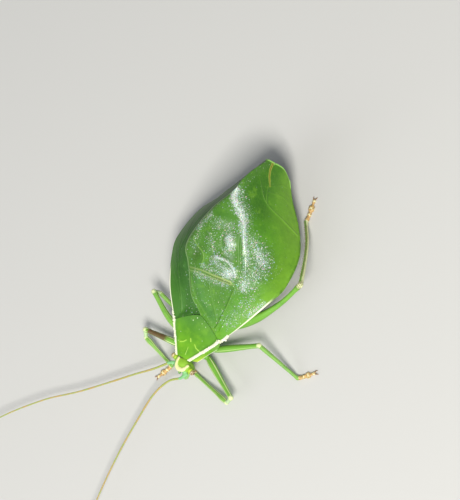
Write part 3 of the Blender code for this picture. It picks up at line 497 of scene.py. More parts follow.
# light and dark places, as run, half width, strength: the sheen and glitter runs place a painted highlight, a pale
# veil and silver glints over the wing's grains; the hollow runs place painted shade; the band is a bluer tint,
# partly a painted highlight
placeRuns = {
    "sheen": [([(0, 28.3), (-0.1, 27.2), (-0.95, 26.3), (-1.8, 25.75), (-2.5, 24.9)], 0.55, 1.0),
              ([(-2.4, 25.0), (-3.0, 24.1), (-3.45, 22.9), (-4.05, 21.8)], 0.34, 1.0),
              ([(-4.05, 21.8), (-4.75, 20.6), (-5.3, 19.3)], 0.5, 0.4),
              ([(-1.75, 21.3), (-2.25, 20.6)], 0.62, 1.0),
              ([(-0.6, 18.05), (-2.68, 18.1), (-3.79, 17.54), (-4.45, 16.6)], 0.27, 1.0),
              ([(-3.9, 16.95), (-3.0, 16.4)], 0.7, 1.0), ([(-5.9, 21.3), (-7.0, 20.2)], 0.6, 0.5),
              ([(-6.1, 16.3), (-6.0, 15.4)], 0.4, 0.6), ([(-8.9, 14.9), (-7.4, 12.0)], 0.3, 0.55)],
    "glitter": [([(-0.2, 28.0), (-1.6, 26.2), (-2.8, 24.4), (-3.6, 22.8)], 0.95, 0.85),
                ([(-4.6, 22.4), (-6.1, 21.2), (-6.9, 19.6), (-6.7, 17.4), (-6.1, 15.9)], 1.15, 0.95),
                ([(-0.3, 17.3), (-2.2, 16.9), (-3.9, 16.4)], 0.8, 0.95), ([(-1.3, 21.6), (-2.3, 20.1)], 1.0, 0.8),
                ([(4.2, 21.0), (3.5, 22.2), (2.8, 23.4)], 0.5, 0.9), ([(1.4, 22.5), (-1.3, 23.0)], 0.8, 0.6),
                ([(1.4, 20.1), (0.4, 18.8)], 0.85, 0.5),
                ([(2.6, 14.35), (-0.6, 14.45), (-3.3, 14.75)], 0.45, 0.85),
                ([(-7.4, 14.4), (-6.4, 12.2), (-4.9, 9.8)], 1.1, 0.5), ([(3.9, 18.0), (3.9, 19.8)], 0.6, 0.4),
                ([(-4.5, 21.4), (-5.3, 19.6), (-5.6, 17.8), (-5.5, 16.2)], 0.75, 0.85),
                ([(1.4, 15.7), (-0.6, 15.9), (-2.8, 16.0)], 0.5, 0.85), ([(-0.9, 19.9), (-1.7, 19.2)], 0.5, 0.6)],
    "plain": [([(-2.95, 22.7), (-3.35, 21.2), (-3.9, 19.5)], 0.36, 1.0),
              ([(2.3, 24.0), (0, 24.3), (-1.9, 24.5)], 0.4, 1.0)],
    "grey": [([(-3.0, 18.75), (-2.1, 18.9)], 0.4, 1.0), ([(0.9, 22.7), (-0.9, 23.1)], 0.7, 0.35)],
    "hollow": [([(3.3, 17.6), (3.5, 16.4)], 0.8, 1.0)],
    "band": [([(2.2, 13.7), (1.3, 12.4), (-0.2, 10.7), (-2.0, 9.5)], 0.75, 1.0)],
}
streakRun = [(34.7, 1.25), (33.4, 0.89), (32.4, 0.76), (31.2, 0.63)]  # brown, as (back, share)


def bowed(start, end, bulge, shares):  # points on a line that swells outwards
    run = end - start
    outward = np.array([run[1], -run[0]]) * 2 * bulge
    return start + np.outer(shares, run) + np.outer(2 * shares * (1 - shares), outward)


def wingOutline(back, over):  # from the rim over the fold to the inner edge, evenly spaced, and the fold's share
    rim, (bulge,) = np.array(readTable(tegmen["rim"], back)), readTable(tegmen["bulge"], back)
    low, edge = np.array(readTable(tegmen["under"], back)).reshape(2, 2)  # the right wing's own fold and edge
    f = np.arange(tegmen["topSteps"] + 1) / tegmen["topSteps"]
    wrap = 0.0
    if over:
        foldX, foldZ = readTable(tegmen["fold"], back)
        foldX = max(foldX, 0.0)
        fold = np.array([foldX, foldZ])
        reach = foldX
        if back <= tegmen["suture"][-1][0]:
            reach = min(readTable(tegmen["suture"], back)[0], foldX)
        wrap = max(readTable(tegmen["wrap"], back)[0], 0.0)
        dome = tegmen["dome"] * min(1.0, foldX / 4) * (0.4 + 0.6 * ease(9.0, 13.0, back))
        x = foldX - (foldX + reach) * f
        rise = dome * (1 - (x / foldX) ** 2) if foldX > 0.3 else 0 * x
        top = np.stack([x, foldZ + rise], axis=1)
    else:
        fold = low
        rise = tegmen["dome"] * 1.3 * f * (1 - f) * min(1.0, (fold[0] - edge[0]) / 5)
        top = fold + np.outer(f, edge - fold) + np.outer(rise, (0, 1))
    steps = tegmen["flankSteps"]
    points = [bowed(rim, fold, bulge, np.arange(steps) / steps), top]
    if wrap > 0.0:  # follows the other wing's flank, a little off it
        share = np.arange(1, tegmen["lapSteps"] + 1) / tegmen["lapSteps"]
        flank = bowed(rim, low, bulge, 1 - wrap * share / np.linalg.norm(low - rim))
        points.append(np.stack([low[0] - fold[0] - flank[:, 0], flank[:, 1] + fold[1] - low[1]], axis=1))
    points = np.vstack(points)
    lengths = np.concatenate([[0], np.cumsum(np.linalg.norm(np.diff(points, axis=0), axis=1))])
    even = np.linspace(0, lengths[-1], tegmen["outlinePoints"])
    line = np.stack([np.interp(even, lengths, points[:, k]) for k in (0, 1)], axis=1)
    return evenOut(line, tegmen["evenAcross"]), min(lengths[steps] / lengths[-1], 1 - 1.3 / lengths[-1])


class WingForm:
    def __init__(self, side):
        self.side, self.over = side, side < 0
        self.backs = np.linspace(tegmen["sectionsFrom"], tegmen["sectionsTo"], tegmen["sections"])
        lines, folds = zip(*(wingOutline(back, self.over) for back in self.backs))
        self.lines, self.folds = (evenOut(np.array(values), tegmen["evenAlong"]) for values in (lines, folds))

    def at(self, back, share):  # arrays in, (x, z) out
        row = np.clip((back - self.backs[0]) / (self.backs[1] - self.backs[0]), 0, len(self.backs) - 1.001)
        column = np.clip(share, 0, 1) * (self.lines.shape[1] - 1.001)
        i, j = row.astype(int), column.astype(int)
        f, g = (row - i)[..., None], (column - j)[..., None]
        low = self.lines[i, j] * (1 - g) + self.lines[i, j + 1] * g
        high = self.lines[i + 1, j] * (1 - g) + self.lines[i + 1, j + 1] * g
        return low * (1 - f) + high * f

    def places(self, back, share):
        flat = self.at(back, share)
        return np.stack([self.side * flat[..., 0], back, flat[..., 1]], axis=-1)

    def foldAt(self, back):
        return np.interp(back, self.backs, self.folds)

    def route(self, run):  # from (back, place), where place is 0 at the rim, 1 at the fold, 2 at the inner edge
        back, place = np.array(run).T
        fold = self.foldAt(back)
        return self.places(back, np.where(place <= 1, place * fold, fold + (place - 1) * (1 - fold)))


def fileMarks(plan):  # the file vein: its ridge, its two pale edges, painted highlights that are stronger on the rear edge, and how far along it
    line = smoothRun(fileRun, 20)
    away, along = nearRun(plan, line)
    k = np.clip((along * (len(line) - 1)).astype(int), 0, len(line) - 2)
    run, offset = line[k + 1] - line[k], plan - line[k]
    rear = run[..., 0] * offset[..., 1] - run[..., 1] * offset[..., 0] < 0
    return bell(away, 0.3), bell(away - 0.22, 0.075) * np.where(rear, 1.0, 0.6), along


def settle(places, over):  # brings the front under the pronotum's hind margin and level with its top
    x, back = places[..., 0], places[..., 1]
    aside = np.minimum(np.abs(x), saddle["half"])
    rear = saddleRear(aside)
    under = np.vectorize(lambda b: keelAt(b)[1])(np.minimum(back, rear))
    top = under + saddle["crown"] * (1 - (aside / saddle["half"]) ** 2)
    past = back - rear
    target = top - tegmen["tuck"] + 0.08 * ease(0.0, 0.3, past)
    if not over:
        target = target - tegmen["underlap"] * (1 - ease(1.5, 2.3, x))
    hold = (1 - ease(0.1, 2.4, past)) * (1 - ease(3.5, 4.2, np.abs(x)))
    places[..., 2] += (target - places[..., 2]) * hold


def topRidges(plan, runs):  # runs end in height and half width
    return (high * ridgeOn(plan, smoothRun(run), half) for run, high, half in runs)


def makeTegmen(name, side, material):
    form = WingForm(side)
    rows, columns = grid = tegmen["rows"], tegmen["columns"]
    share = np.linspace(0, 1, columns)
    aside = np.abs(form.at(np.full(columns, 7.2), share)[:, 0])
    front = saddleRear(aside) - tegmen["frontIn"] * (1 - ease(3.6, 4.3, aside))
    tip = tegmen["end"] - tegmen["tipRounding"] * (1 - share) ** tegmen["tipPower"]
    tip = tip - tegmen["notch"] * bell(share - form.foldAt(34.6) * 0.97, tegmen["notchHalf"])
    back = front + (tip - front) * np.linspace(0, 1, rows)[:, None]
    shares = np.broadcast_to(share, grid)
    places = form.places(back, shares)
    settle(places, form.over)
    normal = gridNormals(places, columns - 3)
    fold = form.foldAt(back)
    place = np.where(shares <= fold, shares / fold, 1 + (shares - fold) / (1 - fold))
    fromRim, fromInner = share * tegmen["width"], (1 - share) * tegmen["width"]
    ridge = tallest(grid, (high * ridgeOn(places, form.route(smoothRun(run, 12)), half * tegmen["veinHalf"],
                                          tegmen["veinFade"])
                           for run, high, half in sideVeins + [foldVein] * form.over))
    lift = ridge * tegmen["veinHigh"]
    plan = places[..., :2]
    ribbed, edges, along = fileMarks(plan) if form.over else np.zeros((3, *grid))
    marks = {"place": place, "behind": (back - 7) / 28, "ribbed": ribbed, "fileEdgeHighlight": edges, "along": along}
    if form.over:
        fine = tallest(grid, topRidges(plan, planVeins))
        rise = sum(topRidges(plan, reliefRuns)) + tegmen["fileHigh"] * ribbed
        lift += (rise + fine) * ease(0.82, 0.95, place)
        ridge = np.maximum(ridge, fine * 6 * ease(0.85, 0.95, place))
        lapped = ease(16.6, 18.0, back) * (1 - ease(26.4, 28.0, back))
        free = ease(10.0, 12.0, back) * (1 - ease(26.0, 28.0, back))
        lift -= tegmen["edgeDown"] * (1 - 0.5 * lapped) * (1 - ease(0.0, 0.7, fromInner)) * free
    rimBead = bell(fromRim, tegmen["rimHalf"])
    lift += tegmen["rimHigh"] * rimBead
    for key, runs in placeRuns.items():
        marks[key] = tallest(grid, topRidges(plan, [(run, strength, half) for run, half, strength in runs]
                                             if form.over else []))
    away, _ = nearRun(places, form.route(streakRun))
    marks["streak"] = np.clip(away / 0.5, 0, 1) if form.over else 1.0
    marks["vein"], marks["rimEdge"] = np.clip(ridge, 0, 1.4), rimBead
    marks["tipEdge"] = bell(tip - back, 0.26) + bell(fromRim, 0.4) * ease(32.0, 32.6, back)
    marks["innerEdge"] = bell(fromInner, 0.2286) * (1 - ease(26, 30, back))
    thick = np.broadcast_to(tegmen["thick"] * (0.55 + 0.45 * ease(0, 0.04, share)), grid)
    piece = shellPiece(name, places + normal * lift[..., None], normal, thick, material, marks)
    keepMark(piece.data, "inside", np.repeat([0.0, 1.0], rows * columns))
    return piece, form


# the wings' greens, and between which shares of the way back the cream of the rim ends; the right wing's greens
# are the left's darkened, painted shade on the flank that faces away from the light
wingPaint = {
    "tegmenLeft": {"deep": (0.036, 0.145, 0.006), "middle": (0.075, 0.25, 0.01), "light": (0.2, 0.43, 0.026),
                   "top": (0.07, 0.2, 0.025), "front": (0.12, 0.36, 0.022), "creamEnds": (0.27, 0.34)},
    # darker copies of the left wing's greens: painted shade on this flank
    "tegmenRight": {"deep": (0.014, 0.08, 0.006), "middle": (0.036, 0.145, 0.013), "light": (0.08, 0.25, 0.024),
                    "top": (0.036, 0.13, 0.018), "front": (0.055, 0.19, 0.02), "creamEnds": (0.19, 0.26)},
}
# silver and veil are painted highlight colours for the glints and sheen on the wing's grains; large, small and
# pits are grain scales
glint = {"silver": (0.83, 0.94, 0.96), "paintedSheenVeil": (0.46, 0.62, 0.46), "large": 5400, "small": 8800, "pits": 5300}


def grains(graph, place, scale, density):  # small round grains, more of them where the density is high
    chance = graph.chance(graph.cells(place, scale, "F1", "Position"))
    return (density + chance - 1.0).between(0.0, 0.14) * (1 - graph.cells(place, scale).between(0.3, 0.6))


def tegmenPaint(name):
    greens = wingPaint[name]

    def paint(graph, place):
        vein, where, behind, along = (graph.mark(key) for key in ("vein", "place", "behind", "along"))
        sheen, glitter, plain, streak = (graph.mark(key) for key in ("sheen", "glitter", "plain", "streak"))
        broad, fine, mottle = graph.noise(place, 160), graph.noise(place, 1500), graph.noise(place, 620, 4, 0.65)
        net = 1 - graph.cells(place, 1900, "DISTANCE_TO_EDGE").between(0.015, 0.11)
        top, low = where.between(0.9, 1.1), 1 - where.between(0.0, 0.7)
        front, fade = 1 - behind.between(0.02, 0.32), behind.between(0.84, 0.93)
        cream, creamEnd = graph.mark("rimEdge").between(0.08, 0.4), behind.between(*greens["creamEnds"])
        uneven = 0.55 + 0.9 * graph.noise(place, 900)
        # the sheen and glitter marks set where grains turn silver and a pale veil covers the wing: a painted
        # highlight where the key light reflects
        density = (sheen * 0.8 + glitter * 0.74 * uneven + 0.04 + 0.065 * top) * (1 - plain * 0.9)
        paintedSheenVeil = (sheen * sheen * 0.62 + glitter * 0.08) * (1 - plain) * uneven
        paintedGlints, paintedFineGlints = grains(graph, place, glint["large"], density), grains(graph, place, glint["small"], density)
        tints = graph.cells(place, glint["large"], "F1", "Color")
        colour = graph.layers(
            greens["deep"],
            (greens["middle"], broad.between(0.3, 0.7)),
            (greens["light"], low * (0.4 + 0.5 * fine)),
            (greens["top"], top * 0.7),
            (greens["front"], front * (0.85 - 0.5 * top)),
            ((0.045, 0.15, 0.014), mottle.between(0.5, 0.72) * (0.35 + 0.3 * top)),
            (greens["light"], (1 - mottle.between(0.3, 0.46)) * 0.3),
            # a bluer green along the raised band: partly its own tint, partly a painted highlight
            ((0.055, 0.2, 0.045), graph.mark("band") * 0.5),
            # painted shade: darker in the hollow beside the S vein
            ((0.04, 0.1, 0.014), graph.mark("hollow") * 0.55),
            ((0.045, 0.17, 0.012), plain * 0.5),
            (greens["light"], net * 0.08),
            ((0.26, 0.48, 0.08), vein.between(0.12, 0.9) * 0.55),
            ((0.2, 0.3, 0.18), graph.mark("grey") * 0.8),
            # painted sheen: a pale veil over the sheen and glitter places
            (glint["paintedSheenVeil"], paintedSheenVeil),
            ((0.05, 0.17, 0.03), grains(graph, place, glint["pits"], density * 0.7) * 0.75),
            # painted highlights: silver glints on the larger and the finer grains
            (graph.mix(glint["silver"], tints, 0.5), paintedGlints * (0.4 + 0.5 * graph.chance(tints) + 0.4 * sheen)),
            (glint["silver"], paintedFineGlints * (0.25 + 0.4 * sheen)),
            ((0.12, 0.15, 0.025), graph.mark("ribbed") * (0.1 + 0.5 * along.between(0.5, 0.8))),
            # painted highlight: pale lines along the file vein's edges, brighter towards its far end
            ((0.56, 0.7, 0.26), graph.mark("fileEdgeHighlight") * (0.3 + 0.6 * along)),
            ((0.84, 0.84, 0.66), cream * (1 - creamEnd)),
            # painted shadow: a dark broken line along the rim past where its cream ends
            ((0.05, 0.14, 0.015), cream * creamEnd * 0.6 * fine.between(0.4, 0.6)),
            ((0.36, 0.44, 0.05), (1 - streak.between(0.25, 0.5)) * (0.35 + 0.6 * fade)),
            ((0.15, 0.085, 0.02), (1 - streak.between(0.06, 0.24)) * (0.2 + 0.7 * fade)),
            ((0.34, 0.68, 0.14), graph.mark("tipEdge").between(0.3, 0.8)),
            ((0.32, 0.52, 0.2), graph.mark("innerEdge") * 0.75),
            ((0.08, 0.28, 0.03), graph.mark("inside") * 0.6))
        waxy = sheen + glitter * 0.6
        relief = (paintedGlints + paintedFineGlints * 0.5) * 0.8 + fine * 0.3 + net * 0.1
        return {"Base Color": colour, "Roughness": 0.44 + 0.12 * broad - 0.16 * waxy, "Coat Weight": waxy * 0.4,
                "Normal": graph.bump(relief, 0.00006, 0.85)}
    return newMaterial(name + "Green", paint, **{"Specular IOR Level": 0.34, "Coat Roughness": 0.16})


wings = {}
for name, side in (("tegmenLeft", -1), ("tegmenRight", 1)):
    piece, wings[name] = makeTegmen(name, side, tegmenPaint(name))
    ride(piece, "wing_green", "tegmen_left" if side < 0 else "tegmen_right")
print("tegmina made")

# Legs: places as (x, back, z), and sections as (share of length, half width, half height)
legs = {
    "frontLeft": {"hip": (-0.85, 3.35, 1.5), "femur": [(-1.95, 3.3, 1.95), (-9.0, -0.45, 3.0)],
                  "shin": (-8.35, -1.4, 2.25), "ankle": (-0.6, 0.15, 0.5), "toe": (2.3, 1.3, 0.25)},
    "frontRight": {"hip": (1.05, 3.35, 1.5), "femur": [(2.15, 3.3, 1.95), (9.55, 2.85, 3.3)],
                   "shin": (9.15, 1.75, 2.6), "ankle": (4.0, -0.4, 0.5), "toe": (5.4, -2.9, 0.25)},
    "midLeft": {"hip": (-1.2, 5.2, 1.4), "femur": [(-2.45, 5.0, 2.0), (-10.0, 8.7, 4.2)],
                "shin": (-10.0, 8.7, 4.2), "ankle": (-16.5, 6.8, 0.55), "toe": (-18.5, 8.6, 0.25)},
    "midRight": {"hip": (1.2, 5.1, 1.4), "femur": [(2.45, 4.9, 2.0), (6.3, 6.0, 3.3), (10.4, 8.8, 4.7)],
                 "shin": (9.9, 9.0, 3.6), "ankle": (4.6, 6.9, 0.55), "toe": (5.4, 9.9, 0.25)},
    "hindLeft": {"hip": (-1.4, 9.2, 1.4),
                 "femur": [(-2.8, 9.0, 2.0), (-7.5, 12.4, 3.9), (-10.75, 16.1, 5.35), (-13.3, 19.8, 7.4)],
                 "tibia": [(-13.3, 19.8, 7.4), (-10.55, 23.75, 4.35), (-8.6, 26.2, 2.5), (-6.0, 28.8, 0.55)],
                 "toe": (-5.5, 32.4, 0.25)},
    "hindRight": {"hip": (1.4, 9.2, 1.4),
                  "femur": [(2.9, 9.0, 2.0), (5.3, 13.0, 4.3), (4.6, 17.5, 7.2), (3.3, 22.0, 9.9)],
                  "tibia": [(3.3, 22.0, 9.9), (5.0, 30.4, 0.55)], "toe": (4.4, 33.4, 0.25)},
}
sections = {
    "coxa": [(0.0, 0.5, 0.5), (0.6, 0.46, 0.46), (1.0, 0.38, 0.38)],
    "femur": [(0.0, 0.36, 0.38), (0.06, 0.48, 0.5), (0.25, 0.54, 0.56), (0.8, 0.38, 0.4), (0.93, 0.37, 0.42),
              (1.0, 0.4, 0.42)],
    "hindFemur": [(0.0, 0.42, 0.5), (0.12, 0.73, 0.95), (0.3, 0.68, 0.98), (0.6, 0.43, 0.53), (0.88, 0.34, 0.38),
                  (0.95, 0.42, 0.46), (1.0, 0.42, 0.46)],
    "frontTibia": [(0.0, 0.34, 0.36), (0.14, 0.42, 0.5), (0.32, 0.32, 0.34), (0.9, 0.28, 0.28), (1.0, 0.34, 0.34)],
    "midTibia": [(0.0, 0.32, 0.34), (0.1, 0.33, 0.38), (0.5, 0.29, 0.31), (0.9, 0.26, 0.26), (1.0, 0.32, 0.32)],
    "hindTibia": [(0.0, 0.34, 0.36), (0.05, 0.36, 0.38), (0.3, 0.29, 0.31), (0.9, 0.27, 0.28), (1.0, 0.34, 0.34)],
    "tarsus": [(0.0, 0.24, 0.24), (0.1, 0.34, 0.3), (0.2, 0.32, 0.28), (0.25, 0.22, 0.22), (0.3, 0.33, 0.3),
               (0.42, 0.34, 0.3), (0.47, 0.22, 0.22), (0.53, 0.44, 0.3), (0.66, 0.52, 0.3), (0.74, 0.42, 0.27),
               (0.78, 0.2, 0.21), (0.9, 0.22, 0.22), (1.0, 0.27, 0.25)],
}


def tubeFaces(loops, around):  # rings of points joined into a tube with closed ends
    faces = []
    for i in range(loops - 1):
        for j in range(around):
            n = (j + 1) % around
            faces.append((i * around + j, i * around + n, (i + 1) * around + n, (i + 1) * around + j))
    return faces + [tuple(range(around))[::-1], tuple(range((loops - 1) * around, loops * around))]


class Limb:  # an oval tube along a smooth route, with its own frame at each step
    def __init__(self, name, kind, points, section, ridge=0.0, step=0.12, domes=1.0):
        self.name, self.kind, self.ridge, self.domes = name, kind, ridge, domes
        rows = routeRows([(x, -back, z) for x, back, z in points])
        self.length = rows[-1][0]
        steps = max(5, int(self.length / step))
        self.path = np.array([readTable(rows, self.length * k / steps) for k in range(steps + 1)])
        run = np.gradient(self.path, axis=0)
        self.run = run / np.linalg.norm(run, axis=1, keepdims=True)
        side = np.cross(self.run, [0, 0, 1.0])
        flat = np.linalg.norm(side, axis=1, keepdims=True)
        self.side = np.where(flat > 0.05, side / np.maximum(flat, 1e-6), [1.0, 0, 0])
        self.lift = np.cross(self.side, self.run)
        self.half = np.array([readTable(section, k / steps) for k in range(steps + 1)])

    def mesh(self, around=22):
        turns = np.linspace(0, 2 * np.pi, around, endpoint=False)
        fromBelow = np.abs(turns - np.pi)
        rise = 1 + self.ridge * (bell(fromBelow - 1.7, 0.22) + 0.8 * bell(fromBelow - 0.75, 0.22))
        dome = [(1.0, 0.15), (0.86, 0.5), (0.62, 0.78), (0.3, 0.94)]  # how far out, and how wide
        last = len(self.path) - 1
        stops = [(0, -out, wide) for out, wide in dome] + [(k, 0, 1.0) for k in range(last + 1)] \
            + [(last, out, wide) for out, wide in dome[::-1]]
        loops = []
        for k, out, shrink in stops:
            wide, tall = self.half[k] * shrink
            centre = self.path[k] + self.run[k] * out * self.domes * min(self.half[k])
            loops.append(centre + np.outer(np.sin(turns) * rise * wide, self.side[k])
                         + np.outer(np.cos(turns) * rise * tall, self.lift[k]))
        return np.vstack(loops), tubeFaces(len(loops), around)

    def reach(self):  # the box where its dye can show
        more = 4.2 if self.kind in ("thorax", "belly") else 1.2
        return self.path.min(axis=0) - more, self.path.max(axis=0) + more

    def near(self, spots):  # nearness in radii, share of the length, turn from the top, for each spot
        away = np.full(len(spots), 99.0)
        share, turn = np.zeros(len(spots)), np.zeros(len(spots))
        for k in range(len(self.path) - 1):
            step = self.path[k + 1] - self.path[k]
            t = np.clip((spots - self.path[k]) @ step / (step @ step), 0, 1)
            offset = spots - self.path[k] - t[:, None] * step
            radius = self.half[k].mean() * (1 - t) + self.half[k + 1].mean() * t
            distance = np.linalg.norm(offset, axis=1) / radius
            closer = distance < away
            away[closer] = distance[closer]
            share[closer] = (k + t[closer]) / (len(self.path) - 1)
            turn[closer] = np.arctan2(offset[closer] @ self.side[k], offset[closer] @ self.lift[k])
        return away, share, turn


class Lump:  # an ellipsoid, turned with the head or straight
    def __init__(self, name, kind, centre, size, turn=0.0):
        self.name, self.kind, self.size = name, kind, np.array(size)
        self.centre = np.array([centre[0], -centre[1], centre[2]])
        c, s = math.cos(math.radians(-turn)), math.sin(math.radians(-turn))
        self.axes = np.array([[c, s, 0], [-s, c, 0], [0, 0, 1.0]])

    def mesh(self, around=24, levels=14):
        points = [(0, 0, -1.0)]
        for level in range(1, levels):
            f = math.pi * level / levels
            for k in range(around):
                turn = 2 * math.pi * k / around
                points.append((math.sin(f) * math.cos(turn), math.sin(f) * math.sin(turn), -math.cos(f)))
        points.append((0, 0, 1.0))
        top = 1 + (levels - 2) * around
        faces = []
        for k in range(around):
            n = (k + 1) % around
            faces += [(0, 1 + n, 1 + k), (top + k, top + n, len(points) - 1)]
            faces += [(a + k, a + n, a + around + n, a + around + k) for a in range(1, top, around)]
        return self.centre + (np.array(points) * self.size) @ self.axes, faces

    def reach(self):
        return self.centre - self.size.max() * 1.6, self.centre + self.size.max() * 1.6

    def near(self, spots):
        away = np.linalg.norm(((spots - self.centre) @ self.axes.T) / self.size, axis=1)
        return away, np.zeros(len(spots)), np.zeros(len(spots))


def joinForms(forms, *detail):  # the points and faces of several forms as one
    points, faces, start = [], [], 0
    for form in forms:
        spots, loops = form.mesh(*detail)
        points.append(spots)
        faces += [tuple(k + start for k in loop) for loop in loops]
        start += len(spots)
    return np.vstack(points), faces


# lumps as (kind, right, forward, rise, size) from the head's centre; sections of palps and scapes as on the legs
head = {
    "centre": (0.5, 0.85, 2.95), "turn": 14.6, "eyeOut": 2.2, "eyeRise": 1.05, "eyeSize": (0.36, 0.46, 0.46),
    "skull": [("skull", 0, 0, 0, (1.6, 1.0, 1.55)), ("skull", 0, 0.02, 1.08, (1.12, 0.93, 0.42)),
              ("cheek", 0, 0.25, -0.5, (1.25, 0.8, 1.0)), ("face", 0, 0.72, 0.1, (0.62, 0.4, 0.95))],
    "pairs": [("skull", 1.1, 0.0, 0.95, (0.52, 0.56, 0.52)), ("cheek", 1.72, 0.0, 1.03, (0.34, 0.47, 0.47)),
              ("jaw", 0.5, 0.62, -1.15, (0.36, 0.42, 0.5)), ("socket", 0.98, 0.88, 0.75, (0.42, 0.36, 0.4))],
    "palps": [([(0.6, 0.55, -1.0), (0.95, 1.1, -0.95), (0.9, 1.5, -1.25), (0.7, 1.8, -1.3)],
               [(0, 0.2), (0.3, 0.23), (0.36, 0.17), (0.5, 0.22), (0.66, 0.17), (0.72, 0.21), (1, 0.25)]),
              ([(0.35, 0.5, -1.3), (0.55, 0.85, -1.5), (0.5, 1.15, -1.62)], [(0, 0.15), (0.5, 0.13), (1, 0.17)])],
    "mouth": [("lip", 0, 0.88, -1.05, (0.5, 0.24, 0.55)), ("face", 0, 0.95, -0.5, (0.6, 0.22, 0.26))],
    "crown": [(-1.02, -0.35), (-0.9, 0.3), (-0.55, 0.8), (0.0, 0.98), (0.55, 0.8), (0.9, 0.3), (1.1, -0.35)],
    "crownHigh": 1.37, "crownSection": [(0, 0.2, 0.18), (0.5, 0.36, 0.24), (1, 0.2, 0.18)],
    "scapes": [[(0, 0.27), (0.6, 0.32), (1, 0.25)], [(0, 0.22), (0.6, 0.24), (1, 0.19)]],
}
feelers = {
    "Left": {"scape": [(-0.71, -0.4, 3.7), (-0.17, -1.08, 3.65)],
             "route": [(0.03, -1.36, 3.6), (1.6, -2.4, 3.4), (2.8, -4.2, 3.1), (3.5, -6.2, 2.9), (3.9, -9.2, 2.8),
                       (4.4, -15.8, 2.7), (4.3, -23.2, 2.7), (3.2, -34.0, 3.0), (0.65, -46.8, 3.6)]},
    "Right": {"scape": [(2.0, 0.4, 3.75), (2.64, 0.2, 3.72)],
              "route": [(2.95, 0.02, 3.65), (5.1, -2.0, 3.4), (7.8, -4.1, 3.1), (10.4, -6.3, 2.9),
                        (15.5, -10.6, 2.8), (20.8, -14.6, 2.8), (27.0, -21.0, 2.9), (32.0, -29.0, 3.2),
                        (35.5, -38.0, 3.8)]},
}


def headSpot(right, forward, rise):  # from the head's centre, before the head is turned, to (x, back, z)
    turn = math.radians(head["turn"])
    x = right * math.cos(turn) + forward * math.sin(turn)
    y = forward * math.cos(turn) - right * math.sin(turn)
    return head["centre"][0] + x, head["centre"][1] - y, head["centre"][2] + rise


def headLump(side, kind, right, forward, rise, size):
    return Lump(kind, kind, headSpot(side * right, forward, rise), size, head["turn"])


def roundLimb(name, kind, points, radii):
    return Limb(name, kind, points, [(share, radius, radius) for share, radius in radii])


def headParts():
    parts = [headLump(1, *lump) for lump in head["skull"]]
    for side in (-1, 1):
        parts += [headLump(side, *lump) for lump in head["pairs"]]
        for route, radii in head["palps"]:
            parts.append(roundLimb("palp", "palp", [headSpot(side * r, f, z) for r, f, z in route], radii))
    parts += [headLump(1, *lump) for lump in head["mouth"]]
    crown = [headSpot(right, forward, head["crownHigh"]) for right, forward in head["crown"]]
    parts.append(Limb("rim", "cream", crown, head["crownSection"]))
    for shape in feelers.values():
        top, (root, second) = shape["scape"][1], shape["route"][:2]
        end = tuple(a + (b - a) * 0.12 for a, b in zip(root, second))
        for route, radii in zip((shape["scape"], [top, root, end]), head["scapes"]):
            parts.append(roundLimb("scape", "scape", route, radii))
    return parts


# the trunk's rows are (back, half width, low, high)
trunk = {
    "thorax": [(2.2, 0.6, 2.5, 3.85), (3.2, 1.1, 2.3, 4.2), (4.6, 1.75, 2.1, 4.55), (6.4, 2.45, 2.05, 4.95),
               (8.8, 2.75, 2.05, 4.95), (12.3, 2.4, 2.4, 6.1)],
    "belly": [(11.6, 2.2, 2.4, 6.2), (16.0, 2.45, 3.0, 7.2), (20.0, 2.15, 4.2, 7.9), (24.0, 1.5, 5.8, 8.3),
              (26.6, 0.8, 7.0, 8.6)],
    "steps": 120, "rings": 9, "pleura": [(1.3, 3.5, 0.75), (1.75, 5.3, 0.85), (2.1, 9.0, 1.05)],
    "cercus": [(0.55, 25.8, 7.9), (0.9, 27.0, 8.0), (0.45, 27.9, 8.1)],
    "cercusRadii": [(0, 0.28), (0.7, 0.22), (1, 0.1)],
    "plate": [(0, 25.5, 7.2), (0, 26.6, 7.35), (0, 27.5, 7.6)], "plateSection": [(0, 0.5, 0.3), (1, 0.3, 0.18)],
}


def trunkParts():
    parts = []
    for name in ("thorax", "belly"):
        rows, count = trunk[name], trunk["steps"]
        points, section = [], []
        for k in range(count + 1):
            share = k / count
            back = rows[0][0] + (rows[-1][0] - rows[0][0]) * share
            half, low, high = readTable(rows, back)
            swell = 1 - 0.035 * (bell(back - 4.3, 0.12) + bell(back - 7.2, 0.14))  # the thorax's two seams
            if name == "belly":  # each ring of the belly swells a little towards its hind edge
                ring = share * trunk["rings"] % 1
                swell = 0.955 + 0.06 * math.sin(math.pi * min(ring / 0.9, 1)) ** 0.7
            points.append((midLine(back), back, (low + high) / 2))
            section.append((share, half * swell, (high - low) / 2 * swell))
        parts.append(Limb(name, name, points, section, domes=0.35))
    for side in (-1, 1):
        for x, back, size in trunk["pleura"]:
            parts.append(Lump("pleuron", "thorax", (side * x, back, 2.6), (size * 0.7, size, size * 0.9)))
        cercus = [(side * x, back, z) for x, back, z in trunk["cercus"]]
        parts.append(roundLimb("cercus", "palp", cercus, trunk["cercusRadii"]))
    parts.append(Limb("plate", "belly", trunk["plate"], trunk["plateSection"]))
    return parts


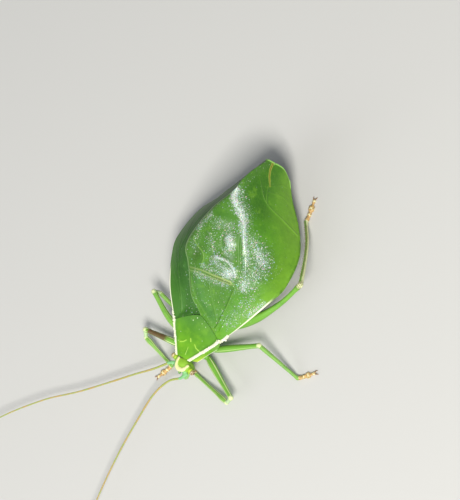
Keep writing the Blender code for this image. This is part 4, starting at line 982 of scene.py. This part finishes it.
def legParts():
    parts = []
    for name, leg in legs.items():
        pair = name.replace("Left", "").replace("Right", "")
        femur, tibia = leg["femur"], leg.get("tibia") or [leg["shin"], leg["ankle"]]
        parts.append(Limb(name, "coxa", [leg["hip"], femur[0]], sections["coxa"]))
        parts.append(Lump(name, "coxa", femur[0], (0.46, 0.46, 0.46)))
        parts.append(Limb(name, "femur", femur, sections["hindFemur" if pair == "hind" else "femur"], 0.1))
        if math.dist(femur[-1], tibia[0]) > 0.2:
            parts.append(Limb(name, "knee", [femur[-1], tibia[0]], [(0, 0.32, 0.36), (1, 0.3, 0.33)]))
        aim = (Vector(femur[-1]) - Vector(femur[-2])).normalized()
        for side in (-1, 1):  # a small lobe on each side of the knee
            lobe = Vector(femur[-1]) - aim * 0.1 + aim.cross(Vector((0, 0, 1))).normalized() * 0.26 * side
            parts.append(Lump(name, "knee", tuple(lobe), (0.2, 0.2, 0.32)))
        parts.append(Limb(name, "tibia", tibia, sections[pair + "Tibia"], 0.12))
        ankle, toe = np.array(tibia[-1]), np.array(leg["toe"])
        middle, late = ankle + (toe - ankle) * 0.3, ankle + (toe - ankle) * 0.6
        middle[2], late[2] = 0.28, 0.25
        parts.append(Limb(name, "tarsus", [tuple(p) for p in (ankle, middle, late, toe)], sections["tarsus"]))
    return parts


skin = {"voxel": 0.113, "smoothing": 4}
dyes = {
    "coxa": (0.17, 0.42, 0.04), "femur": (0.17, 0.42, 0.045), "knee": (0.46, 0.62, 0.34),
    "tibia": (0.19, 0.43, 0.06), "tarsus": (0.66, 0.42, 0.16), "skull": (0.28, 0.53, 0.04),
    "cheek": (0.42, 0.62, 0.03), "face": (0.24, 0.52, 0.07), "cream": (0.84, 0.82, 0.42),
    "jaw": (0.5, 0.46, 0.16), "socket": (0.2, 0.5, 0.18), "palp": (0.26, 0.5, 0.16), "lip": (0.34, 0.56, 0.16),
    "scape": (0.24, 0.56, 0.24), "thorax": (0.16, 0.42, 0.07), "belly": (0.2, 0.44, 0.08),
}


def relax(points, edges, rounds):  # smooths without shrinking
    count = np.zeros(len(points))
    np.add.at(count, edges.ravel(), 1)
    for step in range(rounds * 2):
        total = np.zeros_like(points)
        np.add.at(total, edges[:, 0], points[edges[:, 1]])
        np.add.at(total, edges[:, 1], points[edges[:, 0]])
        points = points + (total / count[:, None] - points) * (0.5 if step % 2 == 0 else -0.53)
    return points


def legTints(part, spots, s, a):  # pale and dark, by the share of the length and the turn from the top
    hind = part.name.startswith("hind")
    blots = np.sin(spots @ (17.0, 9.0, 13.0)) * np.sin(spots @ (-8.0, 15.0, 7.0))
    pale, dark = np.zeros(len(s)), np.zeros(len(s))
    if part.kind in ("femur", "tibia", "coxa"):
        pale = bell(a - 0.8, 0.2) * (0.62 if part.name.startswith("mid") else 1.0)
        if hind and part.kind == "tibia":
            dots = 0.5 + 0.5 * np.sin(s * 2 * np.pi * 24)
            dark = bell(a, 0.34) * (0.2 + 0.7 * dots) * ease(0.05, 0.12, s)
            dark = np.maximum(dark, ease(0.0, 0.3, blots) * (1 - ease(0.03, 0.06, s)))
            pale = 0.25 + 0.45 * ease(0.3, 0.6, a)
        elif hind:
            dark = ease(0.0, 0.3, blots) * ease(0.94, 0.96, s)
            pale = pale * 0.25
    if part.kind == "femur":
        pale = np.maximum(pale, ease(0.93, 0.99, s) * 0.7)
        if part.name == "frontRight":
            dark = ease(0.42, 0.55, s) * (1 - ease(0.9, 0.96, s)) * (1 - ease(1.05, 1.3, a))
    if part.kind == "tibia":
        pale = np.maximum(pale, 0.8 * (1 - ease(0.01, 0.05, s)))
    if part.kind == "knee" and hind:
        pale, dark = 0.8, 0.9 * ease(0.15, 0.5, blots)
    if part.kind == "tarsus":
        ends = np.minimum(np.abs(s[:, None] - (0.24, 0.47, 0.78)).min(axis=1) / 0.05, 1)
        dark = 0.5 * (1 - ends) + 0.6 * ease(0.3, 0.7, np.sin(s * 46) * np.cos(a * 3))
        pale = 0.95 * bell(s[:, None] - (0.06, 0.36, 0.64, 0.97), 0.045).max(axis=1) * (1 - dark)
    if part.kind == "belly":
        pale = 0.5 * bell(s * trunk["rings"] % 1 - 0.9, 0.08)
    if part.kind == "jaw":
        dark = 0.4
    return pale, dark


def dyeSkin(spots, parts):  # base colour, pale edge lines and dark places, from the nearest part
    best, owner = np.full(len(spots), 99.0), np.zeros(len(spots), int)
    share, turn, pale, dark = np.zeros((4, len(spots)))
    for number, part in enumerate(parts):
        low, high = part.reach()
        close = np.where(np.all((spots > low) & (spots < high), axis=1))[0]
        away, s, a = part.near(spots[close])
        closer = away < best[close]
        chosen = close[closer]
        best[chosen], owner[chosen], share[chosen], turn[chosen] = away[closer], number, s[closer], a[closer]
    for number, part in enumerate(parts):
        mine = owner == number
        pale[mine], dark[mine] = legTints(part, spots[mine], share[mine], np.abs(turn[mine]))
    return {"dye": np.array([dyes[part.kind] for part in parts])[owner], "pale": pale, "dark": dark}


def skinPaint(graph, place):
    fine, broad, speck = graph.noise(place, 2600, 3), graph.noise(place, 500, 2), graph.cells(place, 4200)
    colour = graph.layers(
        graph.mark("dye", "Color"),
        ((0.04, 0.2, 0.03), broad.between(0.5, 0.75) * 0.35),
        ((0.84, 0.85, 0.5), graph.mark("pale").between(0.3, 0.8) * 0.85),
        ((0.11, 0.035, 0.02), graph.mark("dark") * (0.75 + 0.3 * fine)),
        ((0.6, 0.78, 0.42), (1 - speck.between(0.1, 0.25)) * fine.between(0.5, 0.6) * 0.5))
    return {"Base Color": colour, "Roughness": 0.4 + 0.16 * fine,
            "Normal": graph.bump(fine * 0.7 + speck * 0.4, 0.00004, 0.7)}


def makeSkin(parts, material):
    points, faces = joinForms(parts)
    mesh = bpy.data.meshes.new("skinForms")
    mesh.from_pydata([tuple(p) for p in points], [], faces)
    forms = addObject("skinForms", mesh)
    join = forms.modifiers.new("join", "REMESH")
    join.mode, join.voxel_size = "VOXEL", skin["voxel"]
    joined = plainMesh(forms)
    spots, edges = np.empty(len(joined.vertices) * 3), np.empty(len(joined.edges) * 2, dtype=np.int64)
    joined.vertices.foreach_get("co", spots)
    joined.edges.foreach_get("vertices", edges)
    spots = relax(spots.reshape(-1, 3), edges.reshape(-1, 2), skin["smoothing"])
    spots[:, 2] = np.maximum(spots[:, 2], 0.0)
    loops = [tuple(face.vertices) for face in joined.polygons]
    piece = newPiece("bodySkin", toWorld(spots), loops, material, dyeSkin(spots, parts))
    bpy.data.meshes.remove(joined)
    print("skin:", len(spots), "points")
    return piece


bodyParts = headParts() + trunkParts() + legParts()
legNodes = [f"{bone}_{pair}_{side}" for bone in ("coxa", "femur", "tibia", "tarsus")
            for pair in ("front", "mid", "hind") for side in ("left", "right")]
skinGreen = newMaterial("skinGreen", skinPaint, **{"Specular IOR Level": 0.45})
ride(makeSkin(bodyParts, skinGreen), "flesh_green",
     "thorax", "abdomen", "head", "antenna_left_scape", "antenna_right_scape", *legNodes)
print("skin made")


def makeEye(name, side, material, around=64, levels=40):
    (wide, deep, tall), axis, points = head["eyeSize"], [], []
    for level in range(levels + 1):
        f = math.pi * (0.004 + 0.992 * level / levels)
        for k in range(around):
            a = 2 * math.pi * k / around
            out = side * math.cos(f)
            points.append(spot(*headSpot(side * head["eyeOut"] + out * wide, math.sin(f) * math.cos(a) * deep,
                                         head["eyeRise"] + math.sin(f) * math.sin(a) * tall)))
            axis.append(out * side)
    return faceOut(newPiece(name, points, tubeFaces(levels + 1, around), material, {"axis": axis}))


def eyePaint(graph, place):
    axis, broad = graph.mark("axis"), graph.noise(place, 2500, 2)
    facets = graph.cells(place, 14000, "DISTANCE_TO_EDGE")
    colour = graph.layers(
        (0.5, 0.42, 0.2),
        ((0.17, 0.07, 0.03), axis.between(0.1, 0.55)),
        ((0.62, 0.5, 0.28), axis.between(0.55, 0.72) * (1 - axis.between(0.78, 0.9))),
        ((0.09, 0.035, 0.02), axis.between(0.9, 0.97)),
        ((0.3, 0.2, 0.1), broad.between(0.45, 0.7) * 0.4))
    return {"Base Color": colour, "Roughness": 0.16 + 0.1 * broad, "Normal": graph.bump(facets, 0.00002, 0.5)}


eyeBrown = newMaterial("eyeBrown", eyePaint,
                       **{"Specular IOR Level": 0.7, "Coat Weight": 0.6, "Coat Roughness": 0.08})
ride(makeEye("eyeLeft", -1, eyeBrown), "eye_brown", "eye_left")
ride(makeEye("eyeRight", 1, eyeBrown), "eye_brown", "eye_right")
print("eyes made")


def newGuide(name, points, edges=()):  # points in metres, for a tree to grow on
    mesh = bpy.data.meshes.new(name)
    mesh.from_pydata([tuple(p) for p in points], edges, [])
    return addObject(name, mesh)


def feelerTree():  # a tapering core with a ring at each joint
    graph, given = newTree("feelerRings", ["Ring Spacing", "Root Radius", "Tip Radius"])
    line = graph.add("GeometryNodeMeshToCurve", None, {"Mesh": given["Geometry"]})
    even = graph.add("GeometryNodeResampleCurve", {"mode": "LENGTH"},
                     {"Curve": line, "Length": given["Ring Spacing"]})
    share = graph.add("GeometryNodeSplineParameter", None, None, "Factor")
    radius = given["Root Radius"] + (given["Tip Radius"] - given["Root Radius"]) * share ** 0.6
    wide = graph.add("GeometryNodeSetCurveRadius", None, {"Curve": even, "Radius": radius * 0.8})
    ring = graph.add("GeometryNodeCurvePrimitiveCircle", None, {"Resolution": 10, "Radius": 1.0})
    core = graph.add("GeometryNodeCurveToMesh", None,
                     {"Curve": wide, "Profile Curve": ring, "Scale": radius * 0.8, "Fill Caps": True})
    drum = graph.add("GeometryNodeMeshCylinder", None,
                     {"Vertices": 10, "Side Segments": 3, "Radius": 1.0, "Depth": 0.86})
    place = graph.add("GeometryNodeInputPosition")
    height = graph.add("ShaderNodeSeparateXYZ", None, [place], 2)
    shaped = graph.add("ShaderNodeVectorMath", {"operation": "SCALE"},
                       {"Vector": place, "Scale": 1.0 - height * height * 0.5})
    drum = graph.add("GeometryNodeSetPosition", None, {"Geometry": drum, "Position": shaped})
    girth = radius * chanceBetween(graph, 0.92, 1.08, given["Seed"])
    rings = scatter(graph, even, drum, graph.add("GeometryNodeInputTangent"), girth, given["Ring Spacing"])
    both = graph.add("GeometryNodeJoinGeometry", None, [core])
    graph.put(both.socket.node.inputs[0], rings)
    return endTree(graph, both, given["Finish"])


def feelerPaint(graph, place):
    band, fine = graph.noise(place, 900, 2), graph.noise(place, 6000, 2)
    colour = graph.layers(
        (0.36, 0.42, 0.10),
        ((0.5, 0.36, 0.12), band.between(0.4, 0.62)),
        ((0.66, 0.62, 0.3), fine.between(0.5, 0.7) * 0.4))
    return {"Base Color": colour, "Roughness": 0.45 + 0.1 * fine, "Normal": graph.bump(fine, 0.00002, 0.5)}


def makeFeeler(name, route, tree, finish, steps=160):
    rows = routeRows(route)
    points = [spot(*readTable(rows, rows[-1][0] * k / steps)) for k in range(steps + 1)]
    line = newGuide(name + "Line", points, [(k, k + 1) for k in range(steps)])
    return grow(name, line, tree, finish, 3,
                **{"Ring Spacing": 0.42 * mm, "Root Radius": 0.19 * mm, "Tip Radius": 0.085 * mm})


ringTree, feelerOlive = feelerTree(), newMaterial("feelerOlive", feelerPaint, **{"Specular IOR Level": 0.4})
for side, shape in feelers.items():
    ride(makeFeeler("feeler" + side, shape["route"], ringTree, feelerOlive), "feeler_olive",
         *[f"antenna_{side.lower()}_{k}" for k in (1, 2, 3)])
print("feelers made")


def sproutTree(name, shape, settings, sizes):  # one small shape on every guide point, along its lean
    graph, given = newTree(name, ["Length", "Thickness", "Bend", "Uneven"])
    sprout = graph.add(shape, settings, sizes, "Mesh")
    rise = graph.add("ShaderNodeSeparateXYZ", None, [graph.add("GeometryNodeInputPosition")], 2)
    offset = graph.add("ShaderNodeCombineXYZ", None, [rise * rise * given["Bend"], 0.0, 0.0])
    sprout = graph.add("GeometryNodeSetPosition", None, {"Geometry": sprout, "Offset": offset})
    lean = graph.add("GeometryNodeInputNamedAttribute", {"data_type": "FLOAT_VECTOR"}, {"Name": "lean"})
    grown = graph.add("GeometryNodeInputNamedAttribute", {"data_type": "FLOAT"}, {"Name": "grown"})
    size = chanceBetween(graph, 1 - given["Uneven"], 1 + given["Uneven"], given["Seed"]) * grown
    sprouts = scatter(graph, given["Geometry"], sprout, lean, given["Thickness"] * size, given["Length"] * size)
    return endTree(graph, sprouts, given["Finish"])


def growSprouts(name, places, leans, grown, tree, finish, seed, length, thickness, bend, uneven):
    guide = newGuide(name + "Guide", places)
    keepMark(guide.data, "lean", leans, "FLOAT_VECTOR", "vector")
    keepMark(guide.data, "grown", grown)
    return grow(name, guide, tree, finish, seed, Length=length * mm, Thickness=thickness * mm, Bend=bend,
                Uneven=uneven)


# two rows along every tibia: how many in a row, which way they point, length and thickness in mm
spines = {
    "spinesHind": {"count": 24, "aside": 0.6, "up": 0.8, "length": 0.34, "thickness": 0.055,
                   "finish": "spineDark", "tints": ((0.10, 0.07, 0.035), (0.22, 0.14, 0.06))},
    "spinesFore": {"count": 9, "aside": 0.8, "up": -0.45, "length": 0.22, "thickness": 0.035,
                   "finish": "spineTan", "tints": ((0.5, 0.44, 0.2), (0.16, 0.09, 0.04))},
}
spineStart, spineStretch = 0.12, 0.82  # shares of the tibia
spineTree = sproutTree("spines", "GeometryNodeMeshCone", {"fill_type": "NGON"},
                       {"Vertices": 7, "Side Segments": 4, "Radius Top": 0.04, "Radius Bottom": 1.0, "Depth": 1.0})
draw = random.Random(11)


def spineRows():  # leaning to the foot, drawn in the order of the legs
    rows = {name: ([], []) for name in spines}
    for part in bodyParts:
        if part.kind != "tibia":
            continue
        name = "spinesHind" if part.name.startswith("hind") else "spinesFore"
        size = spines[name]
        for side in (-1, 1):
            for number in range(size["count"]):
                share = spineStart + spineStretch * (number + 0.2 * draw.random()) / size["count"]
                k = int(share * (len(part.path) - 1))
                out = part.side[k] * side * size["aside"] + part.lift[k] * size["up"]
                out /= np.linalg.norm(out)
                rows[name][0].append(part.path[k] + out * part.half[k].mean() * 0.85)
                rows[name][1].append(out + part.run[k] * 0.7)
    return rows


def spinePaint(tints):
    def paint(graph, place):
        fine = graph.noise(place, 5000, 2)
        return {"Base Color": graph.mix(*tints, fine.between(0.4, 0.6)), "Roughness": 0.35 + 0.1 * fine}
    return paint


for name, (places, leans) in spineRows().items():
    size = spines[name]
    finish = newMaterial(size["finish"], spinePaint(size["tints"]))
    piece = growSprouts(name, toWorld(places), leans, np.ones(len(places)), spineTree, finish, 5,
                        size["length"], size["thickness"], bend=0.9, uneven=0.15)
    ride(piece, "foot_tan")

# hairs for each mm of a limb of that kind, and none below a height over the floor
hairs = {"dense": {"femur": 11, "tibia": 20, "tarsus": 38, "palp": 22, "coxa": 10}, "lowest": 0.34,
         "length": 0.2, "thickness": 0.011}
hairTree = sproutTree("hairs", "GeometryNodeMeshCone", {"fill_type": "NONE"},
                      {"Vertices": 3, "Side Segments": 2, "Radius Top": 0.1, "Radius Bottom": 1.0, "Depth": 1.0})


def hairCover():
    places, leans, grown = [], [], []
    for part in bodyParts:
        if not isinstance(part, Limb) or part.kind not in hairs["dense"]:
            continue
        for _ in range(int(part.length * hairs["dense"][part.kind])):
            k = draw.randrange(1, len(part.path) - 1)
            turn = draw.uniform(-math.pi, math.pi)
            across, up = part.side[k] * math.sin(turn), part.lift[k] * math.cos(turn)
            wide, tall = part.half[k] * 0.96
            place = part.path[k] + across * wide + up * tall
            if place[2] < hairs["lowest"]:
                continue
            places.append(place)
            leans.append(across + up + part.run[k] * 0.9)
            grown.append(draw.uniform(0.6, 1.2))
    return toWorld(places), leans, grown


def hairPaint(graph, place):
    fine = graph.noise(place, 3000)
    return {"Base Color": graph.mix((0.6, 0.62, 0.3), (0.36, 0.3, 0.14), fine.between(0.4, 0.6))}


cover = hairCover()
ride(growSprouts("legHairs", *cover, hairTree, newMaterial("hairPale", hairPaint, Roughness=0.5), 7,
                 hairs["length"], hairs["thickness"], bend=0.5, uneven=0.3), "leg_green")
print("spines and hairs made:", len(cover[0]))

# pale grains along the keels, as (side, spread, size), and knots of them at the start of each wing's rim
beads = {"keels": ((-1, 0.12, 1.0), (1, 0.07, 0.8)), "gap": (0.007, 0.017), "high": 0.1, "wide": 0.13,
         "knots": (("tegmenLeft", 170, 0.11), ("tegmenRight", 45, 0.06))}
beadTree = sproutTree("beads", "GeometryNodeMeshUVSphere", None, {"Segments": 8, "Rings": 6, "Radius": 1.0})


def keelBeads():
    places, grown = [], []
    for side, spread, size in beads["keels"]:
        t = 0.0
        while t < 0.995:
            x, back, z = saddleSpot(side * 1.0, t)
            across = draw.gauss(0.0, spread)
            rise = saddle["keelHigh"] * (0.8 - 4 * across * across)
            places.append(spot(x + across + side * 0.04, back, z + rise + draw.uniform(-0.06, 0.0)))
            grown.append(draw.uniform(0.6, 1.15) * size)
            t += draw.uniform(*beads["gap"])
    for name, count, spread in beads["knots"]:
        behind = np.linspace(7.0, 8.3, 6)
        rim = wings[name].places(behind, np.zeros(6))
        line = smoothRun(np.vstack([saddleSpot(wings[name].side * 1.0, 0.985), rim]).tolist())
        for _ in range(count):
            share = 0.75 * draw.random() ** 1.4
            wide = spread * (1 - 0.8 * share)
            place = line[int(share * (len(line) - 1))]
            places.append(spot(*(float(v) + draw.gauss(0.0, wide) for v in place)))
            grown.append(draw.uniform(0.6, 1.2))
    return places, [(0, 0, 1)] * len(places), grown


def creamPaint(graph, place):
    fine = graph.noise(place, 3000, 3)
    return {"Base Color": graph.mix((0.88, 0.89, 0.72), (0.76, 0.72, 0.42), fine.between(0.5, 0.75)),
            "Roughness": 0.42 + 0.12 * fine, "Normal": graph.bump(fine, 0.00003, 0.6)}


ride(growSprouts("creamBeads", *keelBeads(), beadTree, newMaterial("keelCream", creamPaint), 9,
                 beads["high"], beads["wide"], bend=0.0, uneven=0.12), "plate_green")
print("beads made")

# two claws on each foot: places as (back from the toe, aside, up), and radii as on the limbs
claws = {"route": [(-0.1, 0, 0), (0.3, 0.22, 0.06), (0.62, 0.33, -0.12)], "lowest": 0.06,
         "section": [(0, 0.11, 0.12), (0.6, 0.07, 0.08), (1, 0.02, 0.02)]}


def makeClaws(material):
    forms = []
    for part in bodyParts:
        if part.kind != "tarsus":
            continue
        toe, run, side = part.path[-1], part.run[-1], part.side[-1]
        for way in (-1, 1):
            route = [toe + run * out + side * way * aside + (0, 0, up) for out, aside, up in claws["route"]]
            forms.append(Limb("claw", "claw", [(x, -y, max(z, claws["lowest"])) for x, y, z in route],
                              claws["section"], step=0.06, domes=0.5))
    points, faces = joinForms(forms, 10)
    return faceOut(newPiece("footClaws", toWorld(points), faces, material))


def clawPaint(graph, place):
    fine = graph.noise(place, 5000, 2)
    return {"Base Color": graph.mix((0.2, 0.08, 0.03), (0.5, 0.28, 0.1), fine.between(0.42, 0.62)),
            "Roughness": 0.25 + 0.12 * fine}


ride(makeClaws(newMaterial("clawBrown", clawPaint)), "foot_tan")
print("claws made")

# the camera stands at the photo's angle; lights as place, size, power and colour, aimed at the animal
studio = {
    "elevation": 62, "spin": -63.8, "distance": 0.42, "tall": 0.0771, "aim": (1.51, 19.8, 4.8), "sensor": 24,
    "lights": {"keyLight": ((-0.27, 0.12, 0.42), 0.15, 3.0, (1, 0.97, 0.9)),
               "fillLight": ((0.1, 0.5, 0.35), 0.4, 1.1, (0.95, 0.98, 1))},
    "air": 0.28, "airColour": (0.9, 0.94, 1.0), "floor": (0.58, 0.58, 0.57), "floorHalf": 2,
}


def makeStage():
    h = studio["floorHalf"]
    finish = newMaterial("paleFloor", lambda graph, place: {}, **{"Base Color": studio["floor"], "Roughness": 0.8})
    corners = [(-h, -h, 0), (h, -h, 0), (h, h, 0), (-h, h, 0)]
    floor = newPiece("floor", corners, [(0, 1, 2, 3)], finish, smooth=False)
    world = bpy.data.worlds.new("studioAir")
    bpy.context.scene.world = world
    world.use_nodes = True
    background = world.node_tree.nodes["Background"]
    background.inputs["Color"].default_value = (*studio["airColour"], 1)
    background.inputs["Strength"].default_value = studio["air"]
    bpy.context.scene.view_settings.view_transform = "Standard"  # keeps the greens deep
    for name, (place, size, power, colour) in studio["lights"].items():
        data = bpy.data.lights.new(name, "AREA")
        data.shape, data.size, data.energy, data.color = "SQUARE", size, power, colour
        light = addObject(name, data)
        light.location = place
        light.rotation_euler = (Vector((0, 0, 0.005)) - Vector(place)).to_track_quat("-Z", "Y").to_euler()


def makeCamera():
    rise, turn = math.radians(studio["elevation"]), math.radians(studio["spin"])
    toward = Vector((-math.cos(rise), 0, math.sin(rise)))
    data = bpy.data.cameras.new("photoCamera")
    data.sensor_fit, data.sensor_height = "VERTICAL", studio["sensor"]
    data.lens = studio["sensor"] * studio["distance"] / studio["tall"]
    data.clip_start = 0.01
    camera = addObject("photoCamera", data)
    camera.location = spot(*studio["aim"]) + toward * studio["distance"]
    facing = toward.to_track_quat("Z", "Y").to_matrix().to_4x4()
    camera.rotation_euler = (facing @ Matrix.Rotation(turn, 4, "Z")).to_euler()
    bpy.context.scene.camera = camera


makeStage()
makeCamera()
print("stage set")
